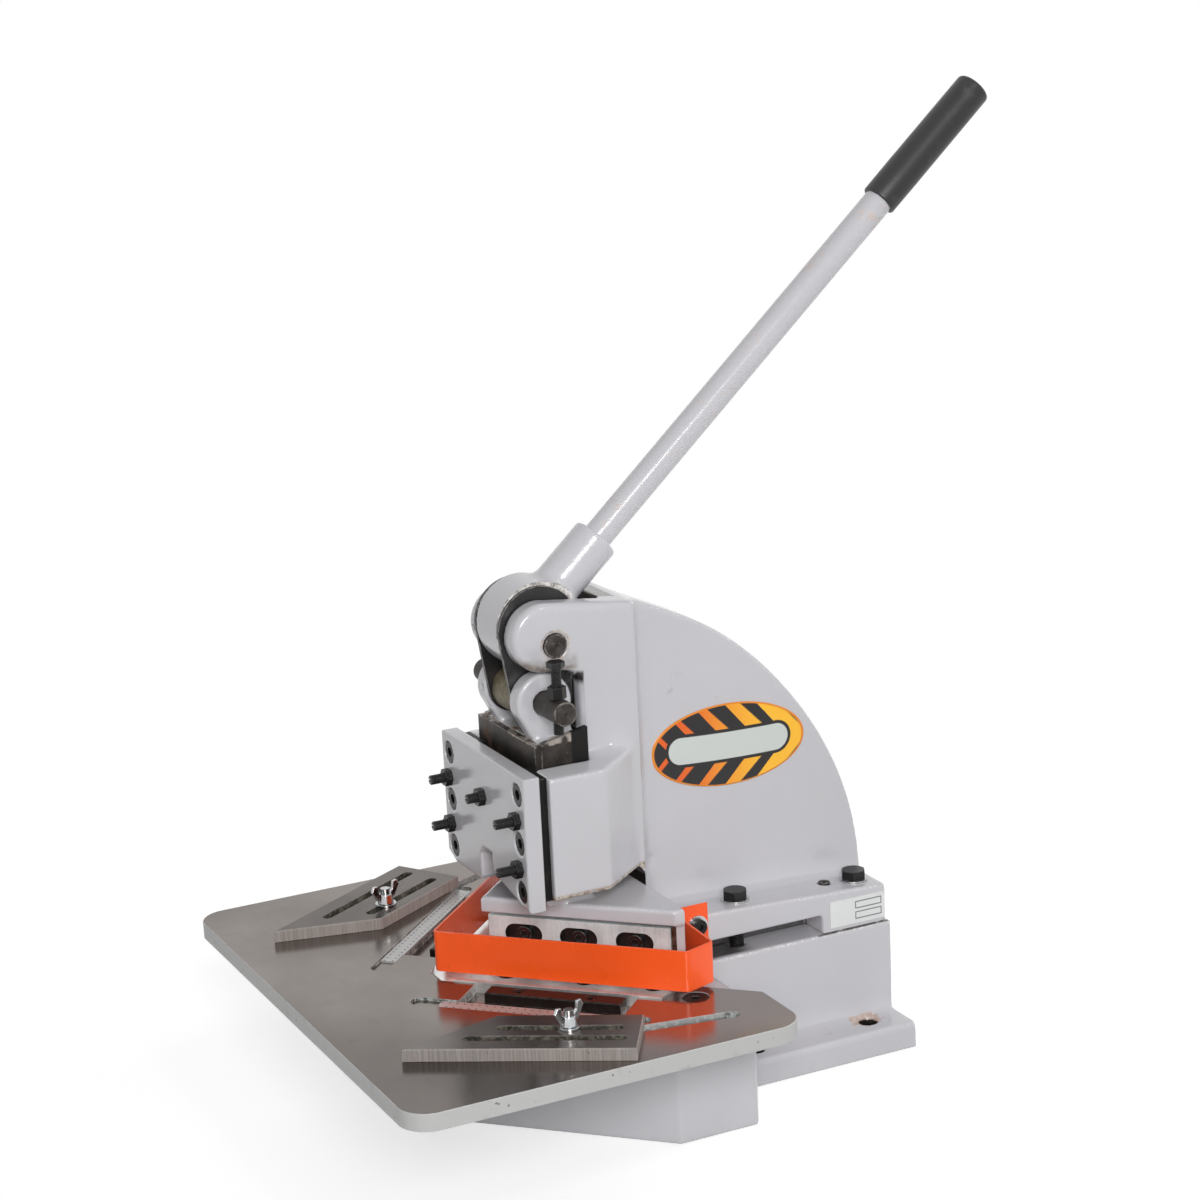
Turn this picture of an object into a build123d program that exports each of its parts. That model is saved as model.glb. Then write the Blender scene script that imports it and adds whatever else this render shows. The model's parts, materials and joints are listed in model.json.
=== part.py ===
from build123d import *
import math
import os

# Corner notcher, millimetres. X across the machine, Y towards its back, Z up.
# Pieces are drawn with Y = 0 at the point where the two cuts meet, and are
# then moved so that the origin is the middle of the bench bolt pattern.

os.makedirs("parts", exist_ok=True)

# ---- clearances ----
run_gap = 0.05          # radial, shaft in bore
slide_gap = 0.3         # ram to its guides
seat_gap = 0.2          # under gauges, washers on moving pieces
side_gap = 0.35         # hub to strap, strap to cheek
head_gap = 0.5          # round countersunk heads, and under the gauge bolts' table

# ---- base casting ----
deck_top = 102.0        # height of the seat for table, blades and frame
deck_thick = 14.0
base_wall = 12.0
base_half = 63.7
base_rear = 343.0
bed_half = 164.0
bed_corner_y = 85.0
bed_apex_y = -79.0
bed_rear = 157.0
foot_half = 100.8
foot_thick = 22.5
foot_edge = 4.0         # rounding along the foot flanges
bed_round = 6.0
scrap_back = 118.0      # rear edge of the scrap opening
scrap_inset = 14.0

# ---- bench bolt pattern ----
bench_x = 156.0
bench_pitch_y = 110.0
bench_hole = 16.0
bench_y = 254.4

# ---- table ----
table_half = 243.0
table_front = -172.0
table_rear = 158.0
table_thick = 14.0
table_corner = 24.0
table_relief = 15.0     # offset of the rear V edges from the cut line
nose_flat_y = -49.6
table_screw_inset = 10.3   # from the side of the bed
table_screw_y = 107.9
table_screw_head = 22.0
table_screw_shank = 12.0
table_screw_sink = 0.4
table_screw_key = (4.0, 4.0)   # hexagon's corner radius and its depth
table_edge = 0.6        # chamfer round the table's top

# ---- blades ----
blade_gap = 0.2         # between upper and lower cutting edges
lower_width = 42.4
lower_proud = 1.5
lower_outer_len = 160.0
lower_inner_len = 172.0
lower_nose_y = -46.6
lower_screw_u = (24.0, 90.0, 148.0)
lower_screw_v = 24.0
lower_sink = 9.5        # depth of the screw heads' seats
lower_screw_long = 18.0
lower_head_long = 8.0
lower_nose = (4.0, 7.0)  # chamfer on the nose
lower_end_gap = 3.0
upper_len = 155.6
upper_thick = 10.0
upper_top = 158.5
upper_apex_z = 123.5
upper_end_z = 127.0
upper_slot_len = 32.0
upper_slot_high = 17.0
upper_slot_deep = 6.0
upper_screw_u = (30.3, 77.4, 125.0)
upper_screw_z = 144.0
upper_screw_deep = 24.0
upper_screw_wall = 12.0  # metal left behind the screws of the two legs
upper_head_long = 5.2
cap_head = 13.0
cap_shank = 8.0

# ---- clamp bars and rulers ----
recess_deep = 8.0
recess_start = 4.4
recess_end = 199.5
bar_start = 25.2
bar_end = 186.9
bar_inner = 64.6        # offsets from the cut line, across both axes
bar_outer = 86.6
bar_proud = 0.8
bar_screws = (62.4, 148.0)
bar_edge = 0.8
bar_head = 5.0          # radius and height of its screw heads
bar_shank = 3.0
bar_sink = 5.5
bar_screw_long = 16.0
bar_head_gap = 0.2
ruler_inner = 111.6
ruler_outer = 133.0
ruler_start = -15.0
ruler_slot_start = -48.0
ruler_slot_end = 233.0
ruler_deep = 2.5
ruler_thick = 1.5
ruler_gap = 0.6
ruler_short = 9.0       # end of the ruler, short of its slot
ruler_slot_round = 6.0

# ---- gauges ----
gauge_thick = 10.0
gauge_long = 178.0
gauge_wide = 64.5
gauge_turn = 58.4       # rest angle of the long edge
gauge_slot = 9.0
gauge_edge = 0.8
outer_slot = (48.0, 20.0, 14.0)     # start, distance from the long edge, end short of the square end
bolt_slot = (72.0, 18.0)            # start, end short of the square end
gauge_bolt = 8.0
table_slot = 12.0
right_corner_inset = (97.7, 34.0)      # from the table's side and front
left_corner_inset = (100.4, 36.5)
right_slot_front = (71.4, 134.0)       # slot ends, from the table's side and its front or rear
right_slot_rear = (43.8, 42.0)
left_slot_front = (101.4, 122.0)
left_slot_rear = (36.5, 60.0)
right_bolt_run = 25.8   # gauge bolt from the front end of its table slot
left_bolt_run = 20.8
gauge_bolt_proud = 5.0
gauge_bolt_head = (9.0, 5.5)    # radius and thickness
gauge_bolt_neck = 4.0
wing_turn = 111.0
wing_boss = (7.0, 5.2)          # radius at its foot and its top
wing_thick = 2.6
wing_edge = [(4.5, 1.5), (10.0, 4.0), (15.5, 13.0), (13.0, 17.5), (9.0, 17.0), (8.0, 10.5), (4.0, 7.5)]
nut_high = 8.0
washer_r = 9.0
washer_thick = 1.6

# ---- frame casting ----
head_half = 44.0
slot_half = 24.3
slot_rear = 102.0
slot_floor = 334.0
boss_front = 17.0
boss_floor = 365.0
boss_top = 421.5
boss_relief = 14.0      # rise of the cavity's rounded corner behind the cheek
cavity_y = 73.5
column_half = 80.8
column_front = 25.0
column_side = 73.6
column_rear = 119.0
column_floor = 190.0
ledge_low = 290.0
ledge_high = 294.0
ramway_half = 55.3
ramway_rear = 72.3
web_half = 16.0
web_round = 3.0
head_round = 6.0
column_round = 9.0
ledge_round = 3.0
flange_round = 5.0
ramp_end = 146.0
throat_rear = 128.0
throat_top = 182.0
throat_round = 4.0
throat_lap = 3.0
web_lap = 5.0           # web and flange run into the column and the pads
web_top = (123.0, 412.0)        # where the head's top runs into the web
web_back = (343.0, 134.0)
web_through = [(155.0, 397.5), (208.0, 370.0), (270.6, 313.8), (322.6, 230.1)]
flange_half = 63.0
flange_front = 140.0
flange_rear = 340.0
flange_floor = 119.0
flange_front_top = 144.8
flange_rear_top = 135.0
pad_lap = 4.0
pad_half = 34.0
pad_front = 277.0
frame_bolt = 12.0
frame_bolt_x = 40.0
frame_bolt_y = (206.8, 321.2)
frame_bolt_af = 19.0
frame_bolt_head = 7.5
frame_bolt_turn = (-8.0, 32.0)
washer_face = 24.0      # outer diameter under the frame bolts
washer_plate = 2.0
spot_deep = 0.6
dowel_x = 37.0
dowel_y = 294.0
dowel_r = 5.0
dowel_proud = 0.8
dowel_key = 2.5
bolt_crown = (0.9, 1.6)  # chamfer on the heads' corners
spot_gap = 1.0
frame_bolt_clear = 2.0   # bolt's end above the deck's underside

# ---- front plate ----
plate_half = 80.8
plate_front = 2.0
plate_thick = 14.7
plate_floor = 184.0
plate_top = 294.7
plate_notch = 22.0
plate_notch_top = 214.0
plate_flare = (8.0, 12.0, 19.0)     # right lobe: arc's width, its low end, its high end
plate_cut = (16.0, 7.0)             # left lobe: outer corner taken off
plate_nick = 4.0
notch_corner = 6.0
plate_edge_cut = 1.2
plate_screw_deep = 20.0  # thread in the column
drill_point = 2.0
gib_short = 4.0          # below the plate's top
adjust_edge = 0.6
plate_screw_x = 67.0
plate_screw_z = (198.0, 238.5, 279.0)
plate_head = 18.0
plate_head_len = 9.5
plate_shank = 12.0
counterbore = 19.0
counterbore_deep = 10.5
adjust_z = (218.0, 258.0)
adjust_mid_z = 259.5
adjust_r = 4.0
adjust_proud = (18.0, 14.5, 20.0)       # left, middle and right screws in front of the plate
adjust_slot = (1.4, 2.2)                # driver slot, wide and deep
lock_nut_af = 13.0
lock_nut_high = 6.0
gib_inner = 42.0
gib_outer = 75.0

# ---- ram ----
ram_half = 50.0
ram_top = 311.0
wear_side = 5.0
wear_front = 6.0
foot_floor = 128.0
foot_step = 162.0
foot_top = 175.0
foot_lip = 5.5
foot_rear = 121.0
foot_tip = 117.0
ear_inner = 24.0
ear_outer = 40.0
ear_r = 24.0
ear_low_turn = 30.0     # degrees below level where the ear's arc ends
ear_lap = 4.0
ear_edge_round = 3.0
foot_end_round = 2.2
foot_edge_round = 2.5
blade_end_gap = 0.6
wrap_proud = (0.8, 5.0)      # corner blocks outside the cut line, front and rear
side_plate_rise = (1.0, 9.0)  # side plates above the ram's top, front and rear
wear_low = 6.0          # wear plates above the foot
stroke = 14.0

# ---- lever, pins and straps ----
upper_pin_y = 53.1
upper_pin_z = 386.7
lower_pin_y = 43.1
lower_pin_z = 340.4
pin_r = 10.0
lower_pin_half = 78.6
upper_pin_proud = 1.2
upper_pin_edge = 0.8
lower_pin_edge = 1.0
hub_r = 37.3
hub_fore = 2.1          # middle of the hub, ahead of the pivot and above it at rest
hub_rise = 9.8
hub_half = 20.4
roller_r = 19.0
roller_half = 20.0
strap_thick = 3.2
strap_r = 34.8
strap_fore = 4.6        # middle of the strap's head, ahead of the upper pin and above it
strap_rise = 9.9
strap_low_r = 21.0
strap_bore_gap = 1.0
lever_lean = 42.0       # rest angle of the handle above +Y
lever_offset = 11.5     # handle axis from the pivot axis
socket_r = 19.5
socket_start = 14.0
socket_edge = 1.5
set_screw_at = 80.0
set_screw_r = 3.0
set_screw_sink = 0.8
socket_end = 93.0
rod_r = 12.2
rod_start = 55.0
rod_end = 575.0
grip_r = 15.0
grip_start = 458.0
grip_end = 586.0
grip_round = 2.5
stop_x = 64.0
stop_floor = 321.0
stop_nut_top = 360.0
stop_head_floor = 375.8
stop_head_top = 380.2
stop_r = 4.0
stop_af = 13.0
stop_turn = 10.0
oil_hole = 5.0
cheek_oil = (-36.0, 390.0)      # X and Z of the oil hole in the left cheek
ear_oil = (-30.0, 341.0)

# ---- guard and plates ----
guard_floor = 120.7
guard_top = 154.6
guard_thick = 2.0
guard_apex = -48.5
guard_bend = (151.5, 103.0)
guard_bend_2 = (142.5, 130.0)
guard_ear_front = 134.0
guard_ear_rear = 167.5
guard_screw_y = 157.4
guard_screw_z = 136.5
guard_head = (6.5, 4.5)     # radius and height of the screw heads
guard_shank = 4.0
guard_ring = (9.0, 1.6)     # washer's radius and thickness
guard_screw_deep = 14.0
badge_y = 218.4
badge_z = 268.7
badge_a = 72.2
badge_b = 35.3
badge_tilt = -2.0
badge_thick = 0.8
data_y = (284.0, 337.0)
data_z = (106.5, 129.5)
data_thick = 0.8

table_top = deck_top + table_thick
right_corner = (table_half - right_corner_inset[0], table_front + right_corner_inset[1])
left_corner = (left_corner_inset[0] - table_half, table_front + left_corner_inset[1])
right_slot_ends = ((table_half - right_slot_front[0], table_front + right_slot_front[1]),
                   (table_half - right_slot_rear[0], table_rear - right_slot_rear[1]))
left_slot_ends = ((left_slot_front[0] - table_half, table_front + left_slot_front[1]),
                  (left_slot_rear[0] - table_half, table_rear - left_slot_rear[1]))
lower_top = table_top + lower_proud
plate_back = plate_front + plate_thick
ram_front = column_front + slide_gap
ram_rear = ramway_rear - slide_gap
root2 = math.sqrt(2.0)
root3 = math.sqrt(3.0)
SHIFT = Pos(0, -bench_y, 0)
nodes = {}


def keep(name, *pieces):
    """Store a node, moved to the bench pattern's frame."""
    solids = []
    for piece in pieces:
        solids += [SHIFT * solid for solid in piece.solids()]
    nodes[name] = solids[0] if len(solids) == 1 else Compound(children=solids)


def mirrored(shape):
    return mirror(shape, Plane.YZ)


def both(shape):
    return [shape, mirrored(shape)]


def prism_x(points, x0, x1):
    face = make_face(Polyline(*points, close=True))
    return extrude(Plane.YZ.offset(x0) * face, amount=x1 - x0)


def prism_z(points, z0, z1):
    face = make_face(Polyline(*points, close=True))
    return extrude(Plane.XY.offset(z0) * face, amount=z1 - z0)


def prism_y(points, y0, y1):
    face = make_face(Polyline(*points, close=True))
    return extrude(Plane.XZ.offset(-y1) * face, amount=y1 - y0)


def box(x0, x1, y0, y1, z0, z1):
    return Pos((x0 + x1) / 2, (y0 + y1) / 2, (z0 + z1) / 2) * Box(x1 - x0, y1 - y0, z1 - z0)


def cyl_x(r, x0, x1, y, z):
    return Pos((x0 + x1) / 2, y, z) * Rot(0, 90, 0) * Cylinder(r, x1 - x0)


def cyl_y(r, y0, y1, x, z):
    return Pos(x, (y0 + y1) / 2, z) * Rot(90, 0, 0) * Cylinder(r, y1 - y0)


def cyl_z(r, z0, z1, x, y):
    return Pos(x, y, (z0 + z1) / 2) * Cylinder(r, z1 - z0)


def hexagon(across, z0, z1, x, y, turn=0):
    face = RegularPolygon(across / 2, 6, major_radius=False)
    return Pos(x, y, z0) * Rot(0, 0, turn) * extrude(face, amount=z1 - z0)


def across(s, c):
    """Plan point of the right leg: s = X + Y along the cut, c = X - Y off it."""
    return ((s + c) / 2, (s - c) / 2)


def leg_prism(points, z0, z1):
    return prism_z([across(s, c) for s, c in points], z0, z1)


def round_z(shape, radius, pick=lambda e: True):
    edges = [e for e in shape.edges().filter_by(Axis.Z) if pick(e)]
    return fillet(edges, radius)


def cap_screw(head_r, head_len, shank_r, shank_len):
    """Socket cap screw pointing down -Z, head seat at Z = 0."""
    head = Pos(0, 0, head_len / 2) * Cylinder(head_r, head_len)
    head = chamfer(head.edges().group_by(Axis.Z)[-1], head_r * 0.08)
    shank = Pos(0, 0, -shank_len / 2 + 0.2) * Cylinder(shank_r, shank_len + 0.4)
    key = Pos(0, 0, head_len * 0.45) * extrude(RegularPolygon(head_r * 0.5, 6), amount=head_len)
    return head + shank - key


# ================= base casting =================
def bed_plan(inset):
    """Plan of the bed, set in from its outer faces."""
    half = [(bed_half - inset, bed_corner_y + inset * (root2 - 1)), (bed_half - inset, bed_rear - inset),
            (base_half - inset, bed_rear - inset), (base_half - inset, base_rear - inset)]
    return [(0, bed_apex_y + inset * root2)] + half + [(-x, y) for x, y in reversed(half)]


bed = prism_z(bed_plan(0), 0, deck_top)
bed = round_z(bed, bed_round, lambda e: abs(abs(e.center().X) - base_half) > 1)
feet = box(-foot_half, foot_half, bed_rear - base_wall, base_rear, 0, foot_thick)
feet = fillet(feet.edges().filter_by(Axis.Y).group_by(Axis.Z)[-1], foot_edge)
base = bed + feet
base -= prism_z(bed_plan(base_wall), -1, deck_top - deck_thick)
scrap_tip = scrap_back - scrap_inset
base -= prism_z([(0, scrap_inset), (scrap_tip, scrap_back), (-scrap_tip, scrap_back)],
                deck_top - deck_thick - 1, deck_top + 1)
for sx in (-1, 1):
    for sy in (-1, 1):
        y = bench_y + sy * bench_pitch_y / 2
        base -= cyl_z(bench_hole / 2, -1, foot_thick + 1, sx * bench_x / 2, y)
    for y in frame_bolt_y:
        x = sx * frame_bolt_x
        base -= cyl_z(frame_bolt / 2 + run_gap, deck_top - deck_thick - 1, deck_top + 1, x, y)

# ================= table =================
table_outline = [(table_half, table_front), (table_half, table_rear),
                 across(2 * table_rear + table_relief, table_relief)]
seat = root2 * lower_width + 0.6
pocket_out = root2 * lower_outer_len + lower_end_gap
pocket_in = pocket_out + root2 * (lower_inner_len - lower_outer_len) * (1 - table_relief / seat)
right_edge = [across(pocket_in, table_relief), across(pocket_out, seat), (seat + nose_flat_y, nose_flat_y)]
table_outline += right_edge
table_outline += [(-x, y) for x, y in reversed(table_outline)]
table = prism_z(table_outline, deck_top, table_top)
table = round_z(table, table_corner, lambda e: abs(e.center().X) > table_half - 1)
table = chamfer([e for e in table.edges().group_by(Axis.Z)[-1] if abs(e.center().X) > table_half - 1
                 or e.center().Y < table_front + 1], table_edge)
recess = leg_prism([(recess_start, seat - 1), (recess_end, seat - 1), (recess_end, ruler_inner + 1),
                    (recess_start, ruler_inner + 1)], table_top - recess_deep, table_top + 1)
ruler_slot = leg_prism([(ruler_slot_start, ruler_inner), (ruler_slot_end, ruler_inner),
                        (ruler_slot_end, ruler_outer), (ruler_slot_start, ruler_outer)],
                       table_top - ruler_deep, table_top + 1)
ruler_slot = round_z(ruler_slot, ruler_slot_round)
for cut in both(recess) + both(ruler_slot):
    table -= cut


def slot_cut(ends, width, z0, z1):
    (xa, ya), (xb, yb) = ends
    length = math.hypot(xb - xa, yb - ya)
    turn = math.degrees(math.atan2(yb - ya, xb - xa))
    face = SlotCenterToCenter(length, width)
    return Pos((xa + xb) / 2, (ya + yb) / 2, z0) * Rot(0, 0, turn) * extrude(face, amount=z1 - z0)


for ends in (right_slot_ends, left_slot_ends):
    table -= slot_cut(ends, table_slot, deck_top - 1, table_top + 1)

# ---- screws that hold the table ----
table_screws = []
shank_r = table_screw_shank / 2
head_deep = table_screw_head / 2 - shank_r
key_r, key_deep = table_screw_key
for sx in (-1, 1):
    x = sx * (bed_half - table_screw_inset)
    y = table_screw_y
    cone_z = table_top - table_screw_sink - head_deep / 2
    cone = Pos(x, y, cone_z) * Cone(shank_r, table_screw_head / 2, head_deep)
    shank = cyl_z(shank_r, deck_top - deck_thick + 2, table_top - head_deep, x, y)
    table -= cyl_z(table_screw_head / 2 + head_gap / 2, table_top - head_gap, table_top + 1, x, y)
    table -= cone
    table -= cyl_z(shank_r, deck_top - 1, table_top - 1, x, y)
    base -= cyl_z(shank_r, deck_top - deck_thick + 1, deck_top + 1, x, y)
    key = Pos(x, y, table_top - key_deep) * extrude(RegularPolygon(key_r, 6), amount=key_deep + 2)
    table_screws.append(cone + shank - key)
keep("table_screws", *table_screws)

# ================= lower blades, clamp bars, rulers =================
edge = root2 * blade_gap / 2
lower_points = [across(edge, edge), across(root2 * lower_inner_len, edge),
                across(root2 * lower_outer_len, root2 * lower_width),
                (root2 * lower_width + lower_nose_y, lower_nose_y), (edge, lower_nose_y)]
lower = prism_z(lower_points, deck_top, lower_top)
lower_cut = []
lower_screws = []
for u in lower_screw_u:
    x, y = across(root2 * u, root2 * lower_screw_v)
    lower -= cyl_z(cap_head / 2 + 1, lower_top - lower_sink, lower_top + 1, x, y)
    lower -= cyl_z(cap_shank / 2, deck_top - 1, lower_top, x, y)
    screw = cap_screw(cap_head / 2, lower_head_long, cap_shank / 2, lower_screw_long)
    lower_screws += both(Pos(x, y, lower_top - lower_sink) * screw)
    lower_cut.append(cyl_z(cap_shank / 2, deck_top - deck_thick, deck_top + 1, x, y))
top_edges = [e for e in lower.edges().group_by(Axis.Z)[-1] if e.center().Y < lower_nose_y + 1]
lower = chamfer(top_edges, *lower_nose)
keep("lower_blade_right", lower)
keep("lower_blade_left", mirrored(lower))
keep("lower_blade_screws", *lower_screws)

bar_top = table_top + bar_proud
bar = leg_prism([(bar_start, bar_inner), (bar_end, bar_inner), (bar_end, bar_outer),
                 (bar_start, bar_outer)], table_top - recess_deep, bar_top)
bar = chamfer(bar.edges().group_by(Axis.Z)[-1], bar_edge)
bar_screw_set = []
for s in bar_screws:
    x, y = across(s, (bar_inner + bar_outer) / 2)
    bar -= cyl_z(bar_head + bar_head_gap, bar_top - bar_sink, bar_top + 1, x, y)
    bar -= cyl_z(bar_shank, deck_top, bar_top, x, y)
    screw = cap_screw(bar_head, bar_head, bar_shank, bar_screw_long)
    bar_screw_set += both(Pos(x, y, bar_top - bar_sink) * screw)
    lower_cut.append(cyl_z(bar_shank, deck_top - deck_thick, deck_top + 1, x, y))
    for hole in both(cyl_z(bar_shank, deck_top - 1, table_top - recess_deep + 1, x, y)):
        table -= hole
for cut in lower_cut:
    for hole in both(cut):
        base -= hole
keep("clamp_bar_right", bar)
keep("clamp_bar_left", mirrored(bar))
keep("clamp_bar_screws", *bar_screw_set)
ruler_end = ruler_slot_end - ruler_short
ruler = leg_prism([(ruler_start, ruler_inner + ruler_gap), (ruler_end, ruler_inner + ruler_gap),
                   (ruler_end, ruler_outer - ruler_gap), (ruler_start, ruler_outer - ruler_gap)],
                  table_top - ruler_deep, table_top - ruler_deep + ruler_thick)
keep("ruler_right", ruler)
keep("ruler_left", mirrored(ruler))
keep("table", table)

# ================= gauges =================
inner_len = gauge_long - gauge_wide


def along_slot(ends, run):
    (xa, ya), (xb, yb) = ends
    part_way = run / math.hypot(xb - xa, yb - ya)
    return (xa + (xb - xa) * part_way, ya + (yb - ya) * part_way)


right_bolt = along_slot(right_slot_ends, right_bolt_run)
left_bolt = along_slot(left_slot_ends, left_bolt_run)


def gauge_shape(slot_y):
    """Right gauge lying along +X, outer corner at the origin, body towards +Y."""
    outline = [(0, 0), (gauge_long, 0), (gauge_long, gauge_wide), (gauge_long - inner_len, gauge_wide)]
    body = prism_z(outline, 0, gauge_thick)
    body = chamfer(body.edges().group_by(Axis.Z)[-1], gauge_edge)
    start, offset, short = outer_slot
    body -= slot_cut(((start, offset), (gauge_long - short, offset)), gauge_slot, -1, gauge_thick + 1)
    start, short = bolt_slot
    body -= slot_cut(((start, slot_y), (gauge_long - short, slot_y)), gauge_slot, -1, gauge_thick + 1)
    return body


def offset_from_edge(corner, bolt):
    """How far a bolt lies inside the gauge's long edge."""
    turn = math.radians(gauge_turn)
    dx = abs(bolt[0]) - abs(corner[0])
    dy = bolt[1] - corner[1]
    return dy * math.cos(turn) - dx * math.sin(turn)


gauge_z = table_top + seat_gap
right_gauge = gauge_shape(offset_from_edge(right_corner, right_bolt))
right_gauge = Pos(*right_corner, gauge_z) * Rot(0, 0, gauge_turn) * right_gauge
left_gauge = gauge_shape(offset_from_edge(left_corner, left_bolt))
left_gauge = mirrored(Pos(-left_corner[0], left_corner[1], gauge_z) * Rot(0, 0, gauge_turn) * left_gauge)
keep("gauge_right", right_gauge)
keep("gauge_left", left_gauge)

washer_z = gauge_z + gauge_thick + seat_gap
nut_z = washer_z + washer_thick + seat_gap


def wing_nut():
    body = Pos(0, 0, nut_high / 2) * Cone(*wing_boss, nut_high)
    plate = prism_y(wing_edge, -wing_thick / 2, wing_thick / 2)
    body = body + plate + Rot(0, 0, 180) * plate
    return body - Cylinder(gauge_bolt / 2 + run_gap, 60)


for side, (x, y) in (("right", right_bolt), ("left", left_bolt)):
    shank = cyl_z(gauge_bolt / 2, deck_top - gauge_bolt_neck, nut_z + nut_high + gauge_bolt_proud, x, y)
    head_r, head_thick = gauge_bolt_head
    head = cyl_z(head_r, deck_top - head_gap - head_thick, deck_top - head_gap, x, y)
    keep("gauge_bolt_" + side, shank + head)
    ring = cyl_z(washer_r, washer_z, washer_z + washer_thick, x, y)
    keep("gauge_washer_" + side, ring - cyl_z(gauge_bolt / 2 + run_gap, washer_z - 1, nut_z + 1, x, y))
    keep("wing_nut_" + side, Pos(x, y, nut_z) * Rot(0, 0, wing_turn) * wing_nut())

# ================= frame casting =================
boss_r = (boss_top - boss_floor) / 2
boss_y = boss_front + boss_r
boss_mid = boss_floor + boss_r
cavity_top = boss_floor - boss_relief
head_edge = Polyline((boss_y, boss_top), web_top, (web_top[0], column_floor), (cavity_y, column_floor),
                     (cavity_y, cavity_top))
head_edge += Spline((cavity_y, cavity_top), (boss_y, boss_floor), tangents=((0, 1), (-1, 0)))
head_edge += ThreePointArc((boss_y, boss_floor), (boss_front, boss_mid), (boss_y, boss_top))
head = extrude(Plane.YZ.offset(-head_half) * make_face(head_edge), amount=2 * head_half)
rim = [e for e in head.edges() if abs(abs(e.center().X) - head_half) < 0.01
       and e.center().Z > boss_floor - 1 and e.center().Y < web_top[0] - 1]
head = fillet(rim, head_round)

column_plan = [(column_half, column_front), (column_half, column_side),
               (head_half, column_rear), (-head_half, column_rear),
               (-column_half, column_side), (-column_half, column_front)]
column = prism_z(column_plan, column_floor, ledge_high)
column_corners = [e for e in column.edges().filter_by(Axis.Z) if abs(e.center().Y - column_side) < 1]
column = fillet(column_corners, column_round)
for sx in (-1, 1):
    wedge = [(sx * (column_half + 1), ledge_low), (sx * (column_half + 1), ledge_high + 1),
             (sx * head_half, ledge_high + 1), (sx * head_half, ledge_high)]
    column -= prism_y(wedge, column_front - 1, column_rear + 30)
column = fillet([e for e in column.edges() if abs(abs(e.center().X) - column_half) < 0.01
                 and e.center().Z > ledge_low - 1], ledge_round)

web_edge = Polyline(web_back, (web_back[0], flange_floor), (throat_rear, flange_floor),
                    (throat_rear, throat_top - throat_round), (throat_rear - throat_round, throat_top),
                    (column_rear, column_floor - throat_lap), (column_rear - web_lap, column_floor),
                    (column_rear - web_lap, web_top[1]), web_top)
web_face = make_face(web_edge + Spline(web_top, *web_through, web_back))
web = extrude(Plane.YZ.offset(-web_half) * web_face, amount=2 * web_half)
web_rim = [e for e in web.edges() if abs(abs(e.center().X) - web_half) < 0.01
           and e.center().Y > web_top[0] + 1 and e.center().Z > flange_front_top + 1]
web = fillet(web_rim, min(web_round, 0.45 * web_half))

ramp_right = Spline((head_half, web_top[0]), (web_half, ramp_end), tangents=((-0.7, 0.5), (-0.05, 1)))
ramp_left = mirrored(ramp_right)
ramp_edge = ramp_right + ramp_left + Polyline((head_half, web_top[0]), (head_half, column_rear),
                                              (-head_half, column_rear), (-head_half, web_top[0]))
ramp_edge += Line((web_half, ramp_end), (-web_half, ramp_end))
ramps = extrude(Plane.XY.offset(flange_floor) * make_face(ramp_edge), amount=boss_top - flange_floor)
ramps &= extrude(Plane.YZ.offset(-head_half) * web_face, amount=2 * head_half)


def flange_top(y):
    """Height of the flange's sloping top."""
    part_way = (y - flange_front) / (flange_rear - flange_front)
    return flange_front_top + (flange_rear_top - flange_front_top) * part_way


flange_side = [(flange_front, flange_floor), (flange_rear, flange_floor), (flange_rear, flange_rear_top),
               (flange_front, flange_front_top)]
flange = prism_x(flange_side, -flange_half, flange_half)
flange = fillet(flange.edges().filter_by(Axis.Z), flange_round)
flange = fillet([e for e in flange.edges() if abs(abs(e.center().X) - flange_half) < 0.01
                 and e.center().Z > flange_rear_top - 1], flange_round / 2)
keel = box(-pad_half, pad_half, throat_rear, flange_rear, deck_top, flange_floor + pad_lap)
rear_pad = box(-flange_half, flange_half, pad_front, flange_rear, deck_top, flange_floor + pad_lap)
pad_corners = [e for e in rear_pad.edges().filter_by(Axis.Z) if e.center().Y > pad_front + 1]
rear_pad = fillet(pad_corners, flange_round)
frame = head + column + web + ramps + flange + keel + rear_pad
frame -= box(-slot_half, slot_half, boss_front - 10, slot_rear, slot_floor, boss_top + 12)
frame -= box(-ramway_half, ramway_half, column_front - 10, ramway_rear, column_floor - 10, ledge_high + 10)
frame -= box(-head_half - 1, head_half + 1, column_front - 10, cavity_y, ledge_high, cavity_top)
frame -= cyl_y(oil_hole / 2, boss_front - 1, upper_pin_y, *cheek_oil)
frame -= cyl_x(pin_r, -head_half - 1, head_half + 1, upper_pin_y, upper_pin_z)

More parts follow.
